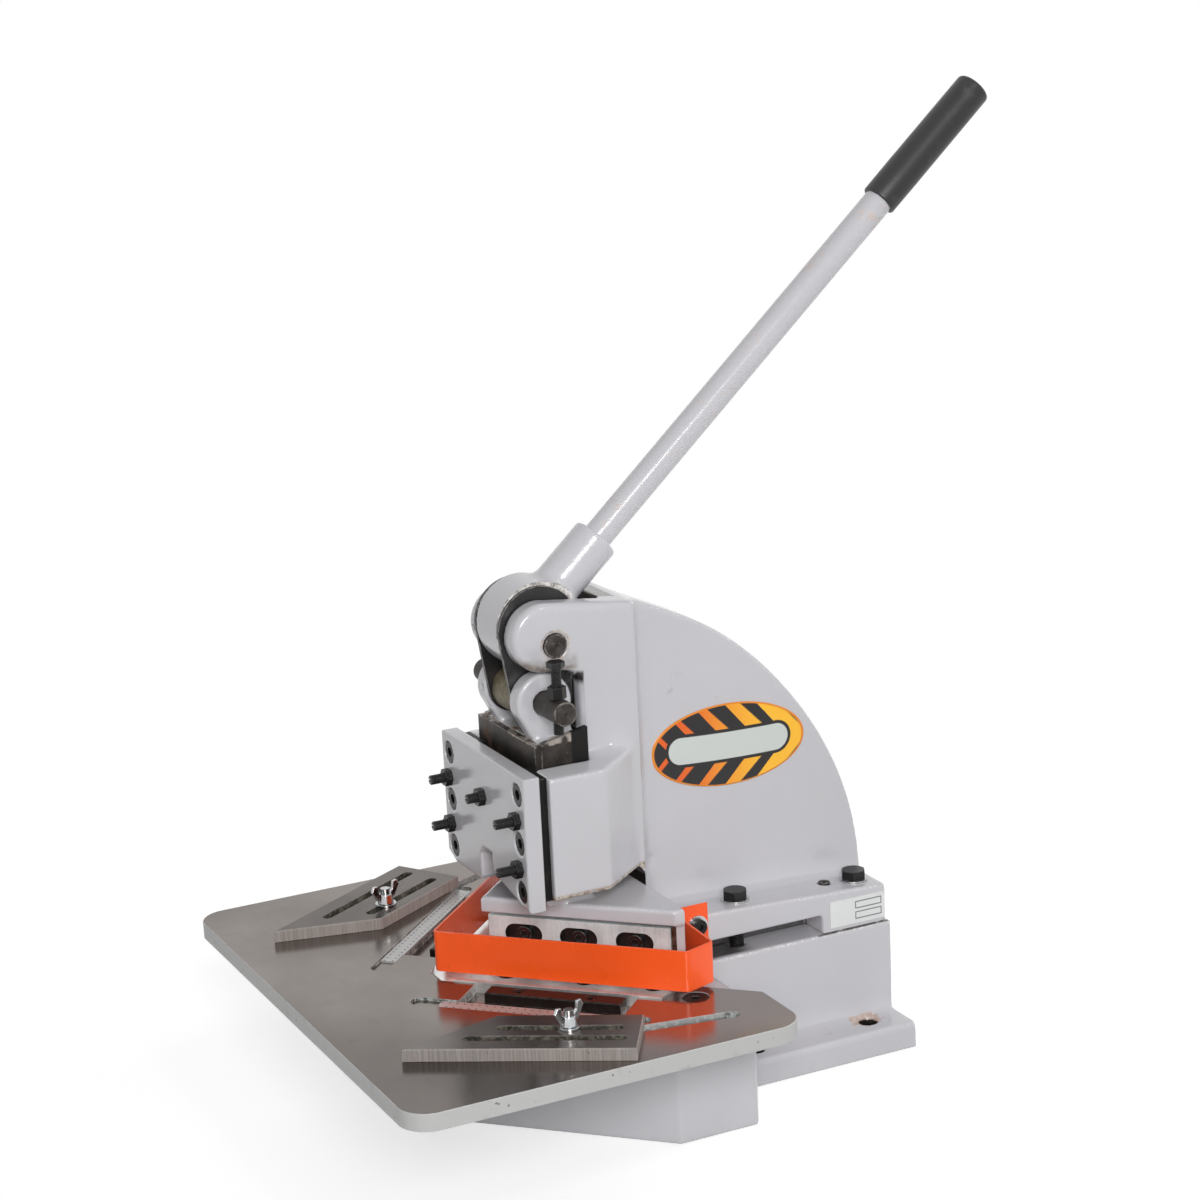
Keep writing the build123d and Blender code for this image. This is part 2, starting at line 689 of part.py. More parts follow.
frame_bolts = []
frame_washers = []
dowels = []
seat_r = washer_face / 2
for sx in (-1, 1):
    for y in frame_bolt_y:
        x = sx * frame_bolt_x
        seat_z = flange_top(y) - spot_deep
        head_z = seat_z + washer_plate
        frame -= cyl_z(frame_bolt / 2 + run_gap, deck_top - 1, seat_z + 5, x, y)
        frame -= cyl_z(seat_r + spot_gap, seat_z, seat_z + frame_bolt, x, y)
        ring = cyl_z(seat_r, seat_z, head_z, x, y)
        frame_washers.append(ring - cyl_z(frame_bolt / 2 + run_gap, seat_z - 1, head_z + 1, x, y))
        bolt_head = hexagon(frame_bolt_af, head_z, head_z + frame_bolt_head, x, y, frame_bolt_turn[sx > 0])
        crown = cyl_z(frame_bolt_af / root3, head_z, head_z + frame_bolt_head, x, y)
        bolt_head &= chamfer(crown.edges().group_by(Axis.Z)[-1], *bolt_crown)
        shank = cyl_z(frame_bolt / 2, deck_top - deck_thick + frame_bolt_clear, head_z + 1, x, y)
        frame_bolts.append(bolt_head + shank)
    x = sx * dowel_x
    top = flange_top(dowel_y)
    frame -= cyl_z(dowel_r, deck_top - 1, top + 5, x, dowel_y)
    pin = cyl_z(dowel_r, deck_top, top + dowel_proud, x, dowel_y)
    key = extrude(RegularPolygon(dowel_key, 6), amount=4 * dowel_key)
    dowels.append(pin - Pos(x, dowel_y, top - 2 * dowel_key) * key)
keep("frame_bolts", *frame_bolts)
keep("frame_washers", *frame_washers)
keep("frame_dowels", *dowels)

# ================= front plate, gibs and screws =================
notch_half = plate_notch / 2
flare_wide, flare_low, flare_high = plate_flare
flare_start = (notch_half, plate_floor + flare_high)
flare_end = (notch_half + flare_wide, plate_floor + flare_low)
plate_edge = Polyline(flare_end, (plate_half, plate_floor), (plate_half, plate_top),
                      (-plate_half, plate_top), (-plate_half, plate_floor + plate_cut[1]),
                      (plate_cut[0] - plate_half, plate_floor), (-notch_half - plate_nick, plate_floor),
                      (-notch_half, plate_floor + plate_nick), (-notch_half, plate_notch_top - notch_corner),
                      (-notch_half + notch_corner, plate_notch_top), (notch_half, plate_notch_top),
                      flare_start)
plate_edge += Spline(flare_start, flare_end, tangents=((0, -1), (1, -0.4)))
front_plate = extrude(Plane.XZ.offset(-plate_back) * make_face(plate_edge), amount=plate_thick)
plate_rim = [e for e in front_plate.edges() if abs(e.center().Y - plate_front) < 0.01]
front_plate = chamfer(plate_rim, plate_edge_cut)
plate_screws = []
adjust_screws = []
lock_nuts = []
gib = box(gib_inner, gib_outer, plate_back, column_front, column_floor, plate_top - gib_short)
plate_reach = column_front + plate_screw_deep - plate_front - counterbore_deep
drill_end = column_front + plate_screw_deep + drill_point
for sx in (-1, 1):
    for z in plate_screw_z:
        x = sx * plate_screw_x
        front_plate -= cyl_y(counterbore / 2, plate_front - 1, plate_front + counterbore_deep, x, z)
        front_plate -= cyl_y(plate_shank / 2, plate_front, plate_back + 1, x, z)
        frame -= cyl_y(plate_shank / 2, column_front - 1, drill_end, x, z)
        if sx > 0:
            gib -= cyl_y(plate_shank / 2, plate_back - 1, column_front + 1, x, z)
        screw = cap_screw(plate_head / 2, plate_head_len, plate_shank / 2, plate_reach)
        plate_screws.append(Pos(x, plate_front + counterbore_deep, z) * Rot(90, 0, 0) * screw)
adjust_at = [(sx * plate_screw_x, z, adjust_proud[sx + 1]) for sx in (-1, 1) for z in adjust_z]
adjust_at.append((0, adjust_mid_z, adjust_proud[1]))
slot_wide, slot_deep = adjust_slot
nut_face = RegularPolygon(lock_nut_af / 2, 6, major_radius=False)
for x, z, proud in adjust_at:
    front_plate -= cyl_y(adjust_r, plate_front - 1, plate_back + 1, x, z)
    tip = plate_front - proud
    rod = cyl_y(adjust_r, tip, plate_back, x, z)
    rod = chamfer(rod.edges().filter_by(GeomType.CIRCLE).group_by(Axis.Y)[0], adjust_edge)
    rod -= Pos(x, tip, z) * Box(2 * adjust_r, 2 * slot_deep, slot_wide)
    adjust_screws.append(rod)
    nut = Pos(x, plate_front, z) * Rot(90, 0, 0) * extrude(nut_face, amount=lock_nut_high)
    lock_nuts.append(nut - cyl_y(adjust_r, tip - 1, plate_back + 1, x, z))
keep("front_plate", front_plate)
keep("plate_screws", *plate_screws)
keep("adjusting_screws", *adjust_screws)
keep("lock_nuts", *lock_nuts)
keep("gib_right", gib)
keep("gib_left", mirrored(gib))

# ================= ram =================
back = root2 * (upper_thick + blade_gap / 2)
core_tip = foot_rear - back
core = prism_z([(0, back), (core_tip, foot_rear), (-core_tip, foot_rear)], foot_floor, foot_top)
lip_points = [(0, -foot_lip), (foot_tip, foot_tip - foot_lip), (foot_tip, foot_rear),
              (-foot_tip, foot_rear), (-foot_tip, foot_tip - foot_lip)]
lip = prism_z(lip_points, foot_step, foot_top)
lip = round_z(lip, foot_end_round, lambda e: abs(e.center().X) > foot_tip - 1)
lip = fillet(lip.edges().group_by(Axis.Z)[-1], foot_edge_round)
blade_end = root2 * upper_len + blade_end_gap
wrap_front, wrap_rear = wrap_proud
tip_wrap = leg_prism([(blade_end, -wrap_front), (2 * foot_tip - wrap_rear, -wrap_front),
                      (2 * foot_rear - wrap_rear, -wrap_rear),
                      (2 * foot_rear - back, -back), (blade_end, -back)], foot_floor + 2, foot_step + 3)
ram = core + lip
for wrap in both(tip_wrap):
    ram += wrap
stem = box(-ram_half, ram_half, ram_front + wear_front, ram_rear, foot_top - 1, ram_top)
ram += stem
ear_turn = math.radians(ear_low_turn)
ear_low = (lower_pin_y + ear_r * math.cos(ear_turn), lower_pin_z - ear_r * math.sin(ear_turn))
ear_high = (lower_pin_y, lower_pin_z + ear_r)
ear_fore = (lower_pin_y - ear_r * math.cos(ear_turn), lower_pin_z - ear_r * math.sin(ear_turn))
ear_root = ram_top - ear_lap
ear_edge = ThreePointArc(ear_low, ear_high, ear_fore)
ear_edge += Polyline(ear_fore, (ram_front + wear_front, ram_top), (ram_front + wear_front, ear_root),
                     (ram_rear - ear_lap, ear_root), ear_low)
ear = extrude(Plane.YZ.offset(ear_inner) * make_face(ear_edge), amount=ear_outer - ear_inner)
ear_rim = [e for e in ear.edges() if abs(e.center().X - ear_outer) < 0.01 and e.center().Z > ram_top]
ear = fillet(ear_rim, ear_edge_round)
for piece in both(ear):
    ram += piece
ram -= cyl_x(pin_r, -ear_outer - 1, ear_outer + 1, lower_pin_y, lower_pin_z)
ram -= cyl_y(oil_hole / 2, lower_pin_y - ear_r - 1, lower_pin_y, *ear_oil)
wear_half = ram_half + wear_side
wear_floor = foot_top + wear_low
wear_plate = box(-wear_half, wear_half, ram_front, ram_front + wear_front, wear_floor, ram_top)
front_rise, rear_rise = side_plate_rise
side_points = [(ram_front + wear_front, wear_floor), (ram_rear, wear_floor),
               (ram_rear, ram_top + rear_rise), (ram_front + wear_front, ram_top + front_rise)]
side_plate = prism_x(side_points, ram_half, ram_half + wear_side)
keep("ram_wear_plate", wear_plate)
keep("ram_side_plate_right", side_plate)
keep("ram_side_plate_left", mirrored(side_plate))

# ---- upper blades ----
LEG = Plane(origin=(0, 0, 0), x_dir=(1, 1, 0), z_dir=(1, -1, 0))
blade_face = make_face(Polyline((-20, upper_top), (upper_len, upper_top), (upper_len, upper_end_z),
                                (0, upper_apex_z), (-20, upper_apex_z), close=True))
upper = extrude(LEG.offset(-upper_thick - blade_gap / 2) * blade_face, amount=upper_thick)
upper -= box(-60, 0.05, -60, 60, upper_apex_z - 5, upper_top + 5)
upper_screws = []
for u in upper_screw_u:
    slot_face = Pos(u, upper_screw_z) * SlotOverall(upper_slot_len, upper_slot_high)
    upper -= extrude(LEG.offset(-upper_slot_deep) * slot_face, amount=upper_slot_deep + 2)
    hole_face = Pos(u, upper_screw_z) * Circle(cap_shank / 2)
    upper -= extrude(LEG.offset(-upper_thick * 2) * hole_face, amount=upper_thick * 2)
    thread = min(upper_screw_deep, u - upper_screw_wall)
    reach = upper_slot_deep + thread
    bore = extrude(LEG.offset(-reach) * hole_face, amount=reach)
    for piece in both(bore):
        ram -= piece
    screw = LEG.offset(-upper_slot_deep) * Pos(u, upper_screw_z, 0) * cap_screw(
        cap_head / 2, upper_head_long, cap_shank / 2, thread)
    upper_screws += both(screw)
keep("upper_blade_right", upper)
keep("upper_blade_left", mirrored(upper))
keep("upper_blade_screws", *upper_screws)
keep("ram", ram)

# ================= pins, roller, straps, stop bolt =================
upper_pin_half = head_half + upper_pin_proud
upper_pin = cyl_x(pin_r, -upper_pin_half, upper_pin_half, upper_pin_y, upper_pin_z)
keep("upper_pin", chamfer(upper_pin.edges().filter_by(GeomType.CIRCLE), upper_pin_edge))
lower_pin = cyl_x(pin_r, -lower_pin_half, lower_pin_half, lower_pin_y, lower_pin_z)
lower_pin = chamfer(lower_pin.edges().filter_by(GeomType.CIRCLE), lower_pin_edge)
lower_pin -= cyl_z(stop_r, lower_pin_z - 15, lower_pin_z + 15, stop_x, lower_pin_y)
keep("lower_pin", lower_pin)
roller = cyl_x(roller_r, -roller_half, roller_half, lower_pin_y, lower_pin_z)
roller -= cyl_x(pin_r + run_gap, -roller_half - 1, roller_half + 1, lower_pin_y, lower_pin_z)
keep("roller", roller)

strap_in = hub_half + side_gap
strap_out = strap_in + strap_thick
strap_head = Pos(upper_pin_y - strap_fore, upper_pin_z + strap_rise) * Circle(strap_r)
strap_foot = Pos(lower_pin_y, lower_pin_z) * Circle(strap_low_r)
strap_face = make_hull([*strap_head.edges(), *strap_foot.edges()])
strap = extrude(Plane.YZ.offset(strap_in) * strap_face, amount=strap_thick)
strap_bore = pin_r + strap_bore_gap
for rise in (0, stroke):
    strap -= cyl_x(strap_bore, strap_in - 1, strap_out + 1, upper_pin_y, upper_pin_z + rise)
strap -= box(strap_in - 1, strap_out + 1, upper_pin_y - strap_bore, upper_pin_y + strap_bore,
             upper_pin_z, upper_pin_z + stroke)
strap -= cyl_x(pin_r, strap_in - 1, strap_out + 1, lower_pin_y, lower_pin_z)
keep("strap_right", strap)
keep("strap_left", mirrored(strap))

stop_shank = cyl_z(stop_r, stop_floor, stop_head_floor + 0.5, stop_x, lower_pin_y)
stop_head = hexagon(stop_af, stop_head_floor, stop_head_top, stop_x, lower_pin_y, stop_turn)
keep("stop_bolt", stop_shank + stop_head)
stop_nut = hexagon(stop_af, lower_pin_z + pin_r + 0.05, stop_nut_top, stop_x, lower_pin_y, stop_turn)
keep("stop_nut", stop_nut - cyl_z(stop_r, stop_floor, stop_head_floor, stop_x, lower_pin_y))

# ================= lever =================
lean = math.radians(lever_lean)
along = (math.cos(lean), math.sin(lean))
upward = (-math.sin(lean), math.cos(lean))
# The hub is an eccentric: its round face turns over the pivot and bears the roller down.
hub = cyl_x(hub_r, -hub_half, hub_half, upper_pin_y - hub_fore, upper_pin_z + hub_rise)
LEVER = Plane(origin=(0, upper_pin_y + lever_offset * upward[0], upper_pin_z + lever_offset * upward[1]),
              x_dir=(1, 0, 0), z_dir=(0, along[0], along[1]))
socket = Pos(0, 0, (socket_start + socket_end) / 2) * Cylinder(socket_r, socket_end - socket_start)
rod_bore = Pos(0, 0, (rod_start + socket_end) / 2 + 5) * Cylinder(rod_r, socket_end - rod_start + 10)
socket_flat = strap_r + strap_rise / 2
for sx in (-1, 1):
    socket -= Pos(sx * (hub_half + 5), 0, socket_flat / 2) * Box(10, socket_r * 3, socket_flat)
hub += LEVER * socket
hub -= LEVER * rod_bore
hub -= cyl_x(pin_r + run_gap, -hub_half - 5, hub_half + 5, upper_pin_y, upper_pin_z)
mouth = [e for e in hub.edges().filter_by(GeomType.CIRCLE) if abs(e.radius - socket_r) < 0.01
         and (LEVER.to_local_coords(e).center().Z > socket_end - 1)]
hub = chamfer(mouth, socket_edge)
set_axis = LEVER * Pos(0, 0, set_screw_at) * Rot(-90, 0, 0)
hub -= set_axis * extrude(Circle(set_screw_r), amount=2 * socket_r)
keep("lever_hub", hub)
rod = LEVER * Pos(0, 0, (rod_start + rod_end) / 2) * Cylinder(rod_r, rod_end - rod_start)
keep("handle_rod", rod)
grip_solid = LEVER * Pos(0, 0, (grip_start + grip_end) / 2) * Cylinder(grip_r, grip_end - grip_start)
grip_solid = fillet(grip_solid.edges().filter_by(GeomType.CIRCLE), grip_round)
rod_room = Pos(0, 0, (grip_start + rod_end) / 2 - 5) * Cylinder(rod_r, rod_end - grip_start + 10)
keep("grip", grip_solid - LEVER * rod_room)
set_screw = set_axis * extrude(Circle(set_screw_r), amount=socket_r - set_screw_sink)
set_screw -= LEVER * rod_bore
keep("handle_set_screw", set_screw)

# ================= guard =================
plan = [(flange_half + guard_thick / 2, guard_ear_rear), (flange_half + guard_thick / 2, guard_ear_front),
        guard_bend_2, guard_bend, (0, guard_apex)]
plan = plan + [(-x, y) for x, y in reversed(plan[:-1])]


def wall_plan(path, thick):
    """Outline of a sheet of the given thickness that follows a path."""
    sides = ([], [])
    for i, (x, y) in enumerate(path):
        before = path[max(i - 1, 0)]
        after = path[min(i + 1, len(path) - 1)]
        d0 = (x - before[0], y - before[1]) if i else (after[0] - x, after[1] - y)
        d1 = (after[0] - x, after[1] - y) if i < len(path) - 1 else d0
        a0 = math.atan2(d0[1], d0[0])
        a1 = math.atan2(d1[1], d1[0])
        half = math.atan2(math.sin(a1 - a0), math.cos(a1 - a0)) / 2
        mid = a0 + half
        reach = thick / 2 / math.cos(half)
        sides[0].append((x - reach * math.sin(mid), y + reach * math.cos(mid)))
        sides[1].append((x + reach * math.sin(mid), y - reach * math.cos(mid)))
    return sides[0] + sides[1][::-1]


guard = prism_z(wall_plan(plan, guard_thick), guard_floor, guard_top)
ring_r, ring_thick = guard_ring
out = flange_half + guard_thick
inner = flange_half - guard_screw_deep
hole = cyl_x(guard_shank, inner, out + 2 * ring_thick, guard_screw_y, guard_screw_z)
ring = cyl_x(ring_r, out, out + ring_thick, guard_screw_y, guard_screw_z) - hole
screw = cap_screw(*guard_head, guard_shank, out + ring_thick - inner)
screw = Pos(out + ring_thick, guard_screw_y, guard_screw_z) * Rot(0, 90, 0) * screw
for piece in both(hole):
    guard -= piece
    frame -= piece
guard_washers = both(ring)
guard_screws = both(screw)
keep("finger_guard", guard)
keep("guard_screws", *guard_screws)
keep("guard_washers", *guard_washers)

# ================= badge and data plate =================
badge_face = Pos(badge_y, badge_z) * Rot(0, 0, badge_tilt) * Ellipse(badge_a, badge_b)
keep("badge", extrude(Plane.YZ.offset(web_half) * badge_face, amount=badge_thick))
keep("data_plate", box(flange_half, flange_half + data_thick, *data_y, *data_z))
keep("frame", frame)
keep("base", base)

for name, shape in nodes.items():
    export_step(shape, os.path.join("parts", name + ".step"))
    size = shape.bounding_box()
    print(name, len(shape.solids()), round(shape.volume), round(size.min.Z, 1), round(size.max.Z, 1))
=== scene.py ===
import json
import math

import bmesh
import bpy
import numpy as np
from mathutils import Matrix, Vector


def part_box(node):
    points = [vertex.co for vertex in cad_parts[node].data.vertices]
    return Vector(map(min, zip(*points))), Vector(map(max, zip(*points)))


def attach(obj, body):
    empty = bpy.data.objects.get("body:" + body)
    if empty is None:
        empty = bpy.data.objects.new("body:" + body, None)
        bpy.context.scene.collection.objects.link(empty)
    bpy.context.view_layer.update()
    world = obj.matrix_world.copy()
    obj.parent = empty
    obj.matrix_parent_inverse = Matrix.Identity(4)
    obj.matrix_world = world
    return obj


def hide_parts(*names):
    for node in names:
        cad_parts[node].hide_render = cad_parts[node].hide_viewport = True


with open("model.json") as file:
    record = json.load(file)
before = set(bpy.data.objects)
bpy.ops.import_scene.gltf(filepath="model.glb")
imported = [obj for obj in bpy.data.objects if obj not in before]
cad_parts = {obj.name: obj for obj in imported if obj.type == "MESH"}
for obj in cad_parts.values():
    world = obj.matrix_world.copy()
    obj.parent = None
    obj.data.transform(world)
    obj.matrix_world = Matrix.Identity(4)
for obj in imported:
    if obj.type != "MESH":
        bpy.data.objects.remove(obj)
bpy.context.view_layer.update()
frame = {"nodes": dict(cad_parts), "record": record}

bl_info = {
    "name": "Corner Notcher Finishes",
    "version": (1, 0, 0),
    "blender": (4, 5, 0),
    "location": "3D View > Sidebar > Notcher",
    "description": "Dresses the corner notcher: foundry skins, paint, ground steel, guard, badge and stage",
    "category": "Object",
}

MM = 0.001
JOINTS = {joint["name"]: joint for joint in frame["record"]["behaviour"]["joints"]}
BENCH_Y = 0.2544        # from the point of the cut back to the middle of the bench bolts
PIVOT = Vector(JOINTS["lever_swing"]["pos_m"])
LOWER = Vector(JOINTS["roller_spin"]["pos_m"])
HUB = PIVOT + Vector((0.0, -0.0021, 0.0098))      # middle of the round hub


def from_cut(point):
    """A point of the frame, in millimetres from the point of the cut."""
    return point[0] / MM, (point[1] + BENCH_Y) / MM, point[2] / MM


def highest(node):
    """The right, rear and top of a node, in millimetres from the point of the cut."""
    return from_cut(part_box(node)[1])


# places that the finishes keep to, in millimetres from the point of the cut
PIN_END = highest("upper_pin")[0]
HUB_HALF = highest("lever_hub")[0]
HEAD_TOP = highest("frame")[2]
BASE_TOP = highest("base")[2]
STEM_BACK = highest("ram_side_plate_right")[1]
STEM_HALF = from_cut(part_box("ram_side_plate_right")[0])[0]
WEAR_TOP = highest("ram_wear_plate")[2]
BOLTS = next(mount for mount in frame["record"]["mounts"] if mount["name"] == "bench_bolts")["dims"]
BOLT_X = BOLTS["spacing_x_mm"] / 2      # the right bench holes
BOLT_Y = [BENCH_Y / MM + side * BOLTS["spacing_y_mm"] / 2 for side in (1, -1)]
BOLT_R = BOLTS["hole_r_mm"]
DIAGONAL = math.sqrt(0.5)      # the blades run at 45 degrees
PAINTED_POCKET_SHADE = (0.006, 0.0055, 0.005)  # unlit pockets
WHITE = (1.0, 1.0, 1.0)


# ---------------------------------------------------------------- sizes and colours

def colour_prop(name, description, default):
    return bpy.props.FloatVectorProperty(
        name=name, description=description, subtype="COLOR", size=3, min=0, max=1, default=default)


def length_prop(name, description, low, high, default):
    return bpy.props.FloatProperty(
        name=name, description=description, unit="LENGTH", min=low, max=high, default=default)


def angle_prop(name, description, degrees):
    return bpy.props.FloatProperty(
        name=name, description=description, subtype="ANGLE", default=math.radians(degrees))


def passes_prop(name, description, high, default):
    return bpy.props.IntProperty(
        name=name, description=description, min=0, max=high, default=default)


class CastingLooks(bpy.types.PropertyGroup):
    enamel: colour_prop("Enamel", "Light grey gloss enamel on the castings", (0.550, 0.545, 0.573))
    primer: colour_prop("Primer", "Tan primer that shows where the enamel has chipped", (0.62, 0.44, 0.36))
    skin: length_prop("Skin size", "Face size of the foundry skins", 0.001, 0.006, 0.0016)
    rounding: passes_prop("Rounding", "Smoothing passes that soften the castings' edges", 20, 2)
    fillet: passes_prop("Fillet passes", "Passes that fill the inner corners of the castings", 300, 110)


class SteelLooks(bpy.types.PropertyGroup):
    ground: colour_prop("Ground table", "Colour of the ground table top", (0.37, 0.345, 0.328))
    bright: colour_prop("Bright steel", "Colour of the lower blades and of worn edges", (0.74, 0.73, 0.72))
    dark: colour_prop("Black oxide", "Colour of the screws and nuts", (0.008, 0.0075, 0.0075))
    rust: colour_prop("Rust", "Rust on the wear plates and pins", (0.20, 0.070, 0.028))
    edge: length_prop("Edge break", "Radius of the broken edges on machined pieces", 0, 0.003, 0.0006)


class GuardLooks(bpy.types.PropertyGroup):
    coat: colour_prop("Guard coat", "Orange powder coat", (1.0, 0.105, 0.012))
    bend: length_prop("Bend radius", "Radius on the middle of the sheet at each bend", 0.001, 0.02, 0.004)
    thick: length_prop("Sheet", "Thickness of the guard's sheet", 0.001, 0.004, 0.002)


class BadgeLooks(bpy.types.PropertyGroup):
    dark: colour_prop("Ground", "Dark ground of the badge", (0.012, 0.010, 0.010))
    warm: colour_prop("Warm band", "Orange of the bands at their dark end", (0.80, 0.12, 0.01))
    light: colour_prop("Light band", "Yellow of the bands at their bright end", (1.0, 0.52, 0.03))
    pale: colour_prop("Bar", "Plain pale bar across the middle", (0.60, 0.64, 0.61))
    rim: colour_prop("Rim", "Thin rim round the badge", (0.75, 0.24, 0.02))
    tilt: angle_prop("Tilt", "Slope of the badge's long axis", -2)


class StageLooks(bpy.types.PropertyGroup):
    azimuth: angle_prop("Azimuth", "Camera's angle round the machine", 64.506)
    elevation: angle_prop("Elevation", "Camera's angle above the bench", 14.487)
    roll: angle_prop("Roll", "Camera's roll about its own axis", -2.813)
    place: bpy.props.FloatVectorProperty(
        name="Camera", description="Where the camera stands", subtype="TRANSLATION", unit="LENGTH",
        size=3, default=(2.0088, -1.0974, 0.9801))
    lens: bpy.props.FloatProperty(
        name="Lens", description="Focal length in millimetres on a 36 mm sensor", default=85.296)
    floor: colour_prop("Floor", "Pale floor", (0.56, 0.56, 0.56))


class NotcherLooks(bpy.types.PropertyGroup):
    castings: bpy.props.PointerProperty(type=CastingLooks)
    steel: bpy.props.PointerProperty(type=SteelLooks)
    guard: bpy.props.PointerProperty(type=GuardLooks)
    badge: bpy.props.PointerProperty(type=BadgeLooks)
    stage: bpy.props.PointerProperty(type=StageLooks)


def looks():
    return bpy.context.scene.notcher


# ---------------------------------------------------------------- shader maths

class Value:
    """A node socket that takes part in arithmetic. Each operation adds one Math node."""

    def __init__(self, graph, socket):
        self.graph = graph
        self.socket = socket

    def _maths(self, operation, *values, clamp=False):
        return self.graph.node("ShaderNodeMath", {"operation": operation, "use_clamp": clamp},
                               dict(enumerate(values)))

    def __add__(self, other):
        return self._maths("ADD", self, other)

    def __sub__(self, other):
        return self._maths("SUBTRACT", self, other)

    def __rsub__(self, other):
        return self._maths("SUBTRACT", other, self)

    def __mul__(self, other):
        return self._maths("MULTIPLY", self, other)

    def __truediv__(self, other):
        return self._maths("DIVIDE", self, other)

    __radd__ = __add__
    __rmul__ = __mul__

    def above(self, low, high):
        """0 below low, 1 above high, smooth between. Works with low above high as well."""
        sockets = {"Value": self, "From Min": low, "From Max": high}
        if low > high:
            sockets = {"Value": self, "From Min": high, "From Max": low, "To Min": 1.0, "To Max": 0.0}
        return self.graph.node(
            "ShaderNodeMapRange", {"interpolation_type": "SMOOTHSTEP", "clamp": True}, sockets)

    def inside(self, out_low, low, high, out_high):
        """1 between low and high, 0 outside the outer pair, smooth between."""
        return self.above(out_low, low) * self.above(out_high, high)

    def size(self):
        return self._maths("ABSOLUTE", self)

    def sine(self):
        return self._maths("SINE", self)

    def fraction(self):
        return self._maths("FRACT", self)

    def least(self, other):
        return self._maths("MINIMUM", self, other)

    def most(self, *others):
        total = self
        for other in others:
            total = total._maths("MAXIMUM", total, other)
        return total

    def clamped(self):
        return self._maths("ADD", self, 0.0, clamp=True)


def distance(*steps):
    """Length of a vector given by its steps along each axis."""
    total = steps[0] * steps[0]
    for step in steps[1:]:
        total = total + step * step
    return total._maths("SQRT", total)


class Graph:
    """A node tree, and the one method that adds nodes to it."""

    def __init__(self, tree):
        self.tree = tree
        self.coordinates = {}

    def node(self, kind, settings=None, sockets=None, out=0):
        """Adds a node: its settings first, then the values or links of its sockets."""
        node = self.tree.nodes.new(kind)
        for key, value in (settings or {}).items():
            setattr(node, key, value)
        self.wire(node, sockets or {})
        return Value(self, node.outputs[out])

    def wire(self, node, sockets):
        for key, value in sockets.items():
            socket = node.inputs[key]
            if isinstance(value, Value):
                self.tree.links.new(value.socket, socket)
            elif socket.type == "RGBA":
                socket.default_value = (*value[:3], 1.0)
            else:
                socket.default_value = value

    def between(self, mask, low, high):
        """Mixes two numbers."""
        return self.node("ShaderNodeMapRange", {"clamp": True},
                         {"Value": mask, "To Min": low, "To Max": high})

    def seen(self):
        """1 for the rays by which the camera sees a thing, straight, mirrored or through glass."""
        path = self.node("ShaderNodeLightPath").socket.node.outputs
        rays = [Value(self, path["Is %s Ray" % kind]) for kind in ("Camera", "Glossy", "Transmission")]
        return rays[0].most(*rays[1:])


